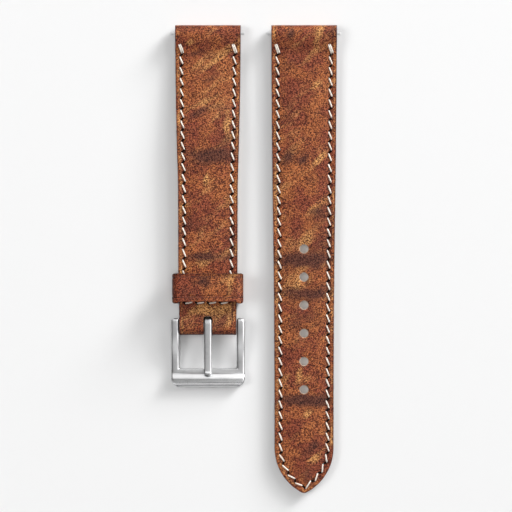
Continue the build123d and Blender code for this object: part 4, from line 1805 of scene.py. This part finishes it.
@dataclass
class Keeper:
    """The sliding leather loop, creased along both edges."""

    centre: float = -11.7
    top_y: float = 57.2
    end_s: float = 67.9
    length: float = 7.1
    width: float = 17.3
    height: float = 6.67
    corner: float = 1.6
    wall: float = 1.1
    leg: float = 0.9
    crease_depth: float = 0.13
    crease_half: float = 0.28
    front_crease: float = 1.25
    back_crease: float = 0.65
    front_line: float = 1.4
    back_line: float = 0.75
    round: float = 0.55
    bow_half: float = 7.45
    bow_run: float = 0.5
    bow: float = 0.5
    front_reach: float = 0.08
    back_reach: float = 0.1
    swell: float = 0.10
    edge_round: float = 0.22

    def section(self) -> list[Flat]:
        """Outer section as X and Z, round from the middle of the underside."""
        half = self.width / 2 - self.corner
        radius = self.corner
        low = radius
        high = self.height - self.corner
        points = [(x, 0.0) for x in steps(0.0, half, 0.5)]
        corners = ((half, low, -90), (half, high, 0), (-half, high, 90), (-half, low, 180))
        for centre_x, centre_z, start in corners:
            for i in range(9):
                angle = math.radians(start + 90 * i / 8)
                points.append((centre_x + radius * math.cos(angle), centre_z + radius * math.sin(angle)))
            if start == -90:
                points += [(self.width / 2, z) for z in steps(low, high, 0.4)[1:]]
            elif start == 0:
                points += [(x, self.height) for x in steps(half, -half, 0.35)[1:]]
            elif start == 90:
                points += [(-self.width / 2, z) for z in steps(high, low, 0.4)[1:]]
            else:
                points += [(x, 0.0) for x in steps(-half, 0.0, 0.5)[1:]]
        return points + [(0.0, 0.0)]

    def build(self, finishes: dict[str, Material]) -> None:
        """Build the keeper and set it on its body.

        Args:
            finishes: materials by name.
        """
        section = self.section()
        rows = 48

        def place(column: int, row: int) -> Vector:
            """Point of the outer face."""
            x, z = section[column]
            share = row / rows
            inward = min(1.0, max(0.0, (self.bow_half - abs(x)) / self.bow_run))
            outer = max(0.0, abs(x) - self.width / 2 + self.round)
            turned = self.round - math.sqrt(max(0.0, self.round**2 - outer**2))
            front = self.end_s + self.front_reach - self.bow * inward**2 * (3 - 2 * inward) - turned
            back = self.end_s - self.length - self.back_reach + turned
            s = front + (back - front) * share
            from_front = front - s
            from_back = s - back
            crease = max(self.ridge(from_front - self.front_crease), self.ridge(from_back - self.back_crease))
            scale = 1.0
            if z > self.height - 0.01:
                z += self.swell * (1 - (x / (self.width / 2)) ** 2) - crease
            elif z > self.corner:
                scale = 1 - crease / (self.width / 2)
            return Vector(((self.centre + x * scale) * MM, (self.top_y - s) * MM, z * MM))

        keeper = mapped_grid("keeper_band", len(section) - 1, rows, place)
        recalculate(keeper, merge=0.01 * MM)
        activate(keeper)
        group = keeper.vertex_groups.new(name="wall")
        for vertex in keeper.data.vertices:
            under = vertex.co.z < self.corner * MM
            group.add([vertex.index], self.leg / self.wall if under else 1.0, "REPLACE")
        use_material(keeper, finishes["keeper"], finishes["edge"], finishes["flesh"])
        apply_modifier(keeper, "SOLIDIFY", thickness=self.wall * MM, offset=-1.0, vertex_group="wall",
                       material_offset=2, material_offset_rim=1)
        apply_modifier(keeper, "BEVEL", width=self.edge_round * MM, segments=3, limit_method="ANGLE",
                       angle_limit=SHARP)
        keeper.vertex_groups.clear()
        recalculate(keeper)
        smooth(keeper, 40)
        paint_patches(keeper, KEEPER_PATCHES, self.centre, self.top_y, self.darkness, lambda x, s: (0.0, 0.0))
        finish_piece(keeper, "keeper", "leather_upper", ["keeper_loop"])

    def ridge(self, distance: float) -> float:
        """Depth of a crease at a distance from its middle."""
        return self.crease_depth * max(0.0, 1 - (distance / self.crease_half) ** 2) ** 2

    def darkness(self, x: float, s: float) -> float:
        """Painted shade on the keeper's sides, stronger on the left, and in its crease lines; darker towards
        its ends as well.
        """
        side = max(0.0, (abs(x) - self.width / 2 + 1.0) / 1.0) * (1.0 if x < 0 else 0.7)
        from_front = self.end_s - s
        from_back = s - self.end_s + self.length
        edge = max(0.0, 1 - min(from_front, from_back) / 0.3)
        line = max(self.ridge(from_front - self.front_line), self.ridge(from_back - self.back_line))
        line /= self.crease_depth
        return min(1.0, 0.85 * side + 0.7 * edge + 0.75 * line)


KEEPER_PATCHES = patch_rows(
    (-0.8, 62.9, 2.2, 1.6, 0, -1), (5.3, 64.0, 2.6, 0.9, 80, 1), (-6.0, 64.5, 1.2, 2.6, 0, -0.6),
    (6.3, 65.6, 1.2, 1.6, 0, -0.6),
)


def paint_side_shade(piece: Piece, back_shade_from: float | None = None) -> None:
    """Paint shade onto the sideways faces of a steel piece, but not onto those that face left, as a colour
    attribute.

    Args:
        piece: the steel piece.
        back_shade_from: Y in metres beyond which faces that lean back get painted shade as well, which dims
            their reflection.
    """
    attribute = piece.data.color_attributes.new("side_shade_mask", "FLOAT_COLOR", "CORNER")
    for face in piece.data.polygons:
        # painted shade: sloping faces darker, those that face left kept bright
        share = 0.0 if face.normal.x < -0.3 else min(1.0, max(0.0, (0.88 - face.normal.z) / 0.4))
        if back_shade_from is not None and face.center.y > back_shade_from:
            share = max(share, min(0.85, max(0.0, face.normal.y / 0.30)))
        for corner in face.loop_indices:
            entry = attribute.data[corner]
            entry.color = (share, share, share, 1.0)


@dataclass
class Buckle:
    """The pin buckle's frame and tongue."""

    centre: float = -11.7
    top_y: float = 57.2
    axis_s: float = 73.35
    axis_z: float = 2.75
    inner_half: float = 7.02
    outer_half: float = 9.0
    back_s: float = 71.68
    bar_start: float = 84.08
    bar_end: float = 88.53
    ledge: float = 1.0
    ledge_height: float = 1.75
    bar_height: float = 2.4
    toe_height: float = 1.4
    arm_height: float = 2.5
    tongue_half: float = 0.925
    ring: float = 1.95
    bore: float = 0.82
    prong: float = 0.95
    tip_s: float = 85.68
    bend_s: float = 84.5
    bend_z: float = 1.98
    clearance: float = 0.05
    merge: float = 0.03
    tail_corner: float = 0.9
    nose_corner: float = 2.2
    tongue_corner: float = 0.4
    frame_round: float = 0.48
    tongue_round: float = 0.36
    ledge_share: float = 0.3
    toe_share: float = 0.6
    bar_bore: float = 0.45
    bar_length: float = 16.06
    ring_power: int = 3

    def plan_matrix(self) -> Matrix:
        """Place of a plan drawn in X and -s."""
        return Matrix.Translation((self.centre, self.top_y, 0.0))

    def side_matrix(self) -> Matrix:
        """Place of a side view drawn in s and Z, extruded along X."""
        turn = Matrix(((0, 0, 1, 0), (-1, 0, 0, 0), (0, 1, 0, 0), (0, 0, 0, 1)))
        return Matrix.Translation((self.centre, self.top_y, 0.0)) @ turn

    def arc(self, centre: Flat, radius: float, start: float, end: float,
            count: int) -> list[Flat]:
        """Points of an arc, with its angles in degrees."""
        angles = [math.radians(start + (end - start) * i / count) for i in range(count + 1)]
        return [(centre[0] + radius * math.cos(a), centre[1] + radius * math.sin(a)) for a in angles]

    def plan(self) -> list[Flat]:
        """Plan outline of the frame, in X and -s."""
        inner, outer = self.inner_half, self.outer_half
        back, front, end = -self.back_s, -self.bar_start, -self.bar_end
        tail, nose = self.tail_corner, self.nose_corner
        points = self.arc((outer - tail, back - tail), tail, 90, 0, 6)
        points += self.arc((outer - nose, end + nose), nose, 0, -90, 12)
        points += self.arc((-outer + nose, end + nose), nose, -90, -180, 12)
        points += self.arc((-outer + tail, back - tail), tail, 180, 90, 6)
        return points + [(-inner, back), (-inner, front), (inner, front), (inner, back)]

    def ease(self, start: Flat, end: Flat, count: int) -> list[Flat]:
        """Points of a curve that is level at both ends."""
        values = [start[0] + (end[0] - start[0]) * i / count for i in range(count + 1)]
        return [(s, blend_height(s, start, end)) for s in values]

    def crown(self, count: int) -> list[Flat]:
        """Points of the crossbar's rounded top, on the arc through its ledge, crest and toe."""
        start = Vector((self.bar_start + self.ledge, self.ledge_height))
        toe = Vector((self.bar_end, self.toe_height))
        crest = Vector(((start.x + toe.x) / 2, self.bar_height))
        first, last = start - crest, toe - crest
        area = 2 * (first.x * last.y - first.y * last.x)
        centre = crest + Vector((last.y * first.length_squared - first.y * last.length_squared,
                                 first.x * last.length_squared - last.x * first.length_squared)) / area
        radius = (start - centre).length
        values = [start.x + (toe.x - start.x) * i / count for i in range(count + 1)]
        return [(s, centre.y + math.sqrt(radius**2 - (s - centre.x) ** 2)) for s in values]

    def build_frame(self, steel: Material) -> Piece:
        """The frame: two arms that sweep down into the crossbar."""
        half = self.arm_height / 2
        bar_start = self.bar_start - self.clearance
        top = self.ease((self.axis_s, self.axis_z + half), (bar_start, self.ledge_height), 24)
        top += self.crown(18)[:-1]
        bottom = self.ease((self.axis_s, self.axis_z - half), (bar_start, 0.0), 24)
        bottom.append((self.bar_end + self.clearance, 0.0))
        top.append((self.bar_end + self.clearance, self.toe_height))
        back = self.back_s - 1.0
        side = [(back, self.axis_z + half)] + top + bottom[::-1] + [(back, self.axis_z - half)]
        arms = outline_solid("buckle_frame_steel", side, -12.0, 12.0, self.side_matrix())
        cut(arms, outline_solid("arm_plan", self.plan(), -3.0, 9.0, self.plan_matrix()), Shaping.KEEP_INSIDE)
        recalculate(arms, merge=self.merge * MM)
        self.weigh_edges(arms)
        apply_modifier(arms, "BEVEL", width=self.frame_round * MM, segments=4, limit_method="WEIGHT",
                       use_clamp_overlap=False)
        cut(arms, self.bore_cutter("bore_cutter", self.bar_bore, self.bar_length, 24))
        use_material(arms, steel)
        smooth(arms, 35)
        paint_side_shade(arms)
        return arms

    def bore_cutter(self, name: str, radius: float, length: float, sides: int) -> Piece:
        """A rod along the spring bar's axis.

        Args:
            name: the rod's name.
            radius: its radius, in millimetres.
            length: its length, in millimetres.
            sides: how many sides it has.

        Returns:
            The rod.
        """
        deselect_all()
        place = (self.centre * MM, (self.top_y - self.axis_s) * MM, self.axis_z * MM)
        bpy.ops.mesh.primitive_cylinder_add(vertices=sides, radius=radius * MM, depth=length * MM,
                                            location=place, rotation=(0.0, math.pi / 2, 0.0))
        return named(name)

    def weigh_edges(self, frame_piece: Piece) -> None:
        """Set how wide the bevel is on each sharp edge of the frame.

        Args:
            frame_piece: the frame before its bevel.
        """
        mesh = bmesh.new()
        mesh.from_mesh(frame_piece.data)
        layer = mesh.edges.layers.float.new("bevel_weight_edge")
        for edge in mesh.edges:
            if len(edge.link_faces) != 2 or edge.calc_face_angle() < SHARP:
                continue
            stations = [self.top_y - vertex.co.y / MM for vertex in edge.verts]
            across = abs(edge.verts[0].co.x - edge.verts[1].co.x) / MM
            at_ledge = all(abs(s - self.bar_start) < 0.05 for s in stations) and across > 1.0
            edge[layer] = self.ledge_share if at_ledge else 1.0
        toe_y = self.top_y - self.bar_end + 0.02
        for edge in mesh.edges:
            if all(abs(vertex.co.z / MM - self.toe_height) < 0.02 and vertex.co.y / MM < toe_y
                   for vertex in edge.verts):
                edge[layer] = self.toe_share
        mesh.to_mesh(frame_piece.data)
        mesh.free()

    def arc_back(self, count: int) -> list[Flat]:
        """Points of the ring's upper back, fuller than a circle, up to its crest."""
        power = self.ring_power
        points = []
        for i in range(count + 1):
            angle = math.radians(180 - 90 * i / count)
            across, up = math.cos(angle), math.sin(angle)
            reach = self.ring / (abs(across) ** power + up**power) ** (1 / power)
            points.append((self.axis_s + reach * across, self.axis_z + reach * up))
        return points

    def build_tongue(self, steel: Material) -> Piece:
        """The tongue: a ring round the bar and a prong with rounded edges."""
        axis = (self.axis_s, self.axis_z)
        bend_top = self.bend_z + self.prong
        ring = self.arc(axis, self.ring, -20, -170, 20) + self.arc_back(10)
        side = [(self.bend_s, bend_top), (self.bend_s + 0.4, bend_top + 0.10),
                (self.tip_s - 0.25, bend_top + 0.26), (self.tip_s, bend_top + 0.05),
                (self.tip_s, self.bend_z + 0.42), (self.bend_s + 0.2, self.bend_z)] + ring
        tongue = outline_solid("buckle_tongue_steel", side, -2.0, 2.0, self.side_matrix())
        cut(tongue, self.bore_cutter("ring_bore", self.bore, 6, 32))
        half, corner = self.tongue_half, self.tongue_corner
        back = self.ring - self.axis_s + self.clearance
        plan = self.arc((0.0, -self.tip_s - self.clearance + half), half, 180, 360, 14)
        plan += self.arc((half - corner, back - corner), corner, 0, 90, 6)
        plan += self.arc((corner - half, back - corner), corner, 90, 180, 6)
        cut(tongue, outline_solid("tongue_plan", plan, -3.0, 9.0, self.plan_matrix()), Shaping.KEEP_INSIDE)
        recalculate(tongue, merge=self.merge * MM)
        apply_modifier(tongue, "BEVEL", width=self.tongue_round * MM, segments=4, limit_method="ANGLE",
                       angle_limit=SHARP, use_clamp_overlap=False)
        use_material(tongue, steel)
        smooth(tongue, 40)
        paint_side_shade(tongue, (self.top_y - self.axis_s) * MM)
        return tongue

    def build(self, steel: Material) -> None:
        """Build the buckle and set it on its bodies.

        Args:
            steel: the buckle's steel.
        """
        finish_piece(self.build_frame(steel), "buckle_frame_body", "steel_buckle", ["buckle_frame"])
        finish_piece(self.build_tongue(steel), "buckle_tongue_body", "steel_buckle", ["buckle_tongue"])


class SpringBars:
    """Dresses the CAD pieces of the three spring bars."""

    prefixes = ("short_lug_bar_", "long_lug_bar_", "buckle_bar_")
    parts = ("tube", "tip_left", "tip_right", "spring")

    def dress(self, turned: Material, wire: Material) -> None:
        """Give every bar's pieces their steel.

        Args:
            turned: steel of the tubes and tips.
            wire: steel of the springs.
        """
        for prefix in self.prefixes:
            for part in self.parts:
                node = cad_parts[prefix + part]
                use_material(node, wire if part == "spring" else turned)
                LOG.info("%s: CAD mesh in steel", prefix + part)


class Studio:
    """Floor, lights and camera.

    Each light panel has its name, its direction as slopes along X and Y, its
    distance, its width and height, its share of the light on the floor, and
    whether it shows in the metal. The cards show in glossy surfaces alone.
    """

    floor_light = 3.30
    paper = 0.93
    room_light = 0.08
    sensor = 36.0
    view_width = 0.1252
    strap_distance = 0.598
    eye = (0.00005, 0.00075, 0.6)
    lights = (
        ("low_right", (2.3, 2.3), 2.40, (0.78, 0.78), 0.26, True),
        ("high_right", (0.95, 1.0), 2.10, (1.35, 0.96), 0.21, True),
        ("high_left", (-0.80, 0.10), 1.80, (0.90, 0.84), 0.24, False),
        ("overhead", (0.0, 0.0), 2.10, (0.90, 0.90), 0.24, False),
    )
    cards = (
        ("north_card", (0.0, 1.08), 2.0, (2.6, 2.8), 0.42),
        ("zenith_card", (0.0, -0.30), 2.10, (1.60, 3.00), 0.11),
        ("south_card", (0.0, -2.9), 2.0, (2.4, 1.3), 0.085),
        ("south_high_card", (0.0, -0.95), 2.0, (2.2, 1.1), 0.034),
        ("east_card", (1.5, 0.0), 1.5, (2.2, 2.2), 0.60),
    )

    def build(self) -> None:
        """Set up everything that isn't part of the strap."""
        deselect_all()
        bpy.ops.mesh.primitive_plane_add(size=3.0, location=(0.0, 0.0, -0.00002))
        floor = named("floor")
        material, nodes, shader = new_material("paper")
        grey = (self.paper, self.paper, self.paper, 1.0)
        fill(shader, base_color=grey, roughness=1.0, specular_ior_level=0.0)
        use_material(floor, material)
        world = bpy.data.worlds.new("studio")
        world.use_nodes = True
        background = world.node_tree.nodes["Background"]
        fill(background, color=(1.0, 1.0, 1.0, 1.0), strength=self.room_light)
        bpy.context.scene.world = world
        for name, slopes, distance, size, share, shows in self.lights:
            lamp = self.area(name, Vector((*slopes, 1.0)).normalized() * distance, size, share)
            lamp.visible_glossy = shows
        for name, slopes, distance, size, share in self.cards:
            card = self.area(name, Vector((*slopes, 1.0)).normalized() * distance, size, share)
            card.visible_diffuse = False
            card.data.cycles.max_bounces = 0
        camera = bpy.data.cameras.new("camera")
        camera.sensor_width = self.sensor
        camera.lens = self.sensor * self.strap_distance / self.view_width
        eye = bpy.data.objects.new("camera", camera)
        eye.location = self.eye
        camera.clip_start = 0.01
        camera.clip_end = 10.0
        bpy.context.collection.objects.link(eye)
        bpy.context.scene.camera = eye
        bpy.context.scene.view_settings.view_transform = "Standard"

    def area(self, name: str, place: Vector, size: Flat, share: float) -> Piece:
        """Add a light panel aimed at the middle of the strap.

        Args:
            name: the light's name.
            place: where it stands.
            size: its width and height.
            share: its share of the light on the floor.

        Returns:
            The light's object.
        """
        light = bpy.data.lights.new(name, "AREA")
        light.shape = "RECTANGLE"
        light.size, light.size_y = size
        light.energy = share * self.floor_light * math.pi * place.length**3 / place.z
        lamp = bpy.data.objects.new(name, light)
        lamp.location = place
        lamp.rotation_euler = place.to_track_quat("Z", "Y").to_euler()
        bpy.context.collection.objects.link(lamp)
        return lamp


SHORT_PATCHES = patch_rows(
    (-4.5, 4.3, 1.4, 0.9, 30, 1), (2.6, 8.1, 4.4, 0.8, 42, 1), (-1.5, 19.1, 4.1, 0.8, 30, 1),
    (4.7, 24.7, 2.4, 0.7, 85, 1), (-0.4, 37.2, 2.2, 0.8, 80, 1), (-0.9, 58.1, 1.8, 1.3, 30, 1),
    (5.4, 71.5, 2.6, 0.9, 80, 1), (-3.5, 7.0, 2.6, 1.1, 15, -1.3), (0.8, 13.3, 2.2, 1.4, 20, -0.8),
    # the golden patch at 69.6 mm, just past the keeper, is painted light that lifts the keeper's cast shadow
    (0.0, 69.6, 5.5, 1.3, 0, 1.0), (-1.9, 21.3, 4.4, 1.0, 28, -1), (0.0, 31.8, 7.5, 2.0, 0, -1.6),
    (0.0, 56.6, 6.5, 1.4, 0, -1.3), (2.5, 20.3, 3.0, 1.2, 0, -1),
)
LONG_PATCHES = patch_rows(
    (3.4, 3.1, 2.9, 0.8, 68, 1), (3.3, 14.3, 1.8, 1.0, 45, 1), (3.8, 32.8, 2.2, 0.8, 47, 1),
    (0.4, 52.7, 1.8, 1.0, 40, 1), (-1.6, 63.2, 1.8, 0.8, 80, 1), (-1.1, 85.7, 1.8, 0.8, 80, 1),
    (0.9, 95.0, 1.8, 1.0, 40, 1), (2.3, 106.0, 1.8, 1.0, 40, 1), (-3.3, 2.2, 1.8, 1.0, 85, -1),
    (3.8, 21.4, 2.0, 1.2, 40, -1), (-3.8, 32.2, 1.8, 1.3, 40, -1), (-0.3, 33.1, 1.6, 1.3, 40, -1),
    (1.1, 37.8, 1.8, 1.2, 40, -1), (0.0, 57.5, 6.5, 1.8, 0, -1.7), (0.0, 91.7, 6.5, 1.4, 0, -1.8),
    (3.0, 59.0, 3.5, 1.2, 0, -1.1), (0.0, 65.6, 6.5, 1.5, 0, -1.2), (2.6, 45.4, 3.2, 1.0, 20, -0.8),
    (-0.8, 97.9, 1.8, 1.2, 40, -1), (2.6, 102.6, 1.8, 1.2, 40, -1), (0.9, 110.1, 1.8, 1.2, 40, -1),
)


FINISHES = {
    "upper": GrainLeather(),
    "edge": PlainLeather("edge_paint", (0.050, 0.018, 0.013), (0.030, 0.010, 0.008), 0.5),
    "keeper": GrainLeather("keeper_leather", seed=0.31),
    "lining": PlainLeather("lining_leather", (0.50, 0.30, 0.16), (0.42, 0.24, 0.12)),
    "board": PlainLeather("filler_board", (0.30, 0.18, 0.11), (0.24, 0.13, 0.07), 0.9),
    "tape": PlainLeather("woven_tape", (0.78, 0.75, 0.69), (0.66, 0.62, 0.55), 0.9),
    "flesh": PlainLeather("flesh_side", (0.42, 0.27, 0.17), (0.34, 0.21, 0.13), 0.9),
    # near black: painted shade inside the stitch slits and on the tongue slot's walls
    "cut": PlainLeather("slit_shade_leather", (0.020, 0.009, 0.007), (0.012, 0.006, 0.005), 0.9),
    "raw": PlainLeather("raw_cut_leather", (0.60, 0.47, 0.36), (0.50, 0.37, 0.27), 0.9),
}
SHORT_SHARES = ((0, 0), (0.225, 0.14), (0.40, 0.41), (0.515, 0.64), (0.81, 0.73), (1, 1))
LONG_SHARES = ((0, 0), (0.165, 0.12), (0.38, 0.375), (0.51, 0.62), (0.70, 0.875), (1, 1))


def taper(length: float, end_half: float, shares: Sequence[Flat]) -> tuple[Flat, ...]:
    """Half widths by distance from shares of the length and of the narrowing."""
    return tuple((length * a, STACK.lug_half - (STACK.lug_half - end_half) * b) for a, b in shares)


def main() -> None:
    """Build every piece of the strap and its studio."""
    effects = Effects()
    finishes = {name: finish.material(effects) for name, finish in FINISHES.items()}
    widths = taper(75.7, 6.9, SHORT_SHARES)
    short = ShortHalf("short", "buckle_half", -11.7, 57.2, 75.7, widths, SHORT_PATCHES)
    long = LongHalf("long", "long_half", 11.8, 57.2, 114.4, (), LONG_PATCHES)
    long.widths = taper(long.side_length, long.tail_half, LONG_SHARES)
    rows = {"left": short_row(short, True), "right": short_row(short, False), "long": long_row(long)}
    short_rows = (rows["left"], rows["right"], cross_knots(short))
    LeatherHalf(short, short_stations(short), short_rows, finishes).build()
    LeatherHalf(long, long_stations(long), (rows["long"],), finishes).build()
    Stitching(WaxedThread().material(effects)).build(short, long, rows)
    Keeper().build(finishes)
    Buckle().build(Steel("satin_steel", side_shade=(0.33, 0.33, 0.34)).material(effects))
    SpringBars().dress(Steel("turned_steel", brushing=(1.0, 0.05, 0.05)).material(effects),
                       Steel("spring_wire", colour=(0.55, 0.55, 0.56), roughness=0.25).material(effects))
    Studio().build()


if __name__ == "__main__":
    logging.basicConfig(level=logging.INFO, format="%(name)s: %(message)s")
    main()
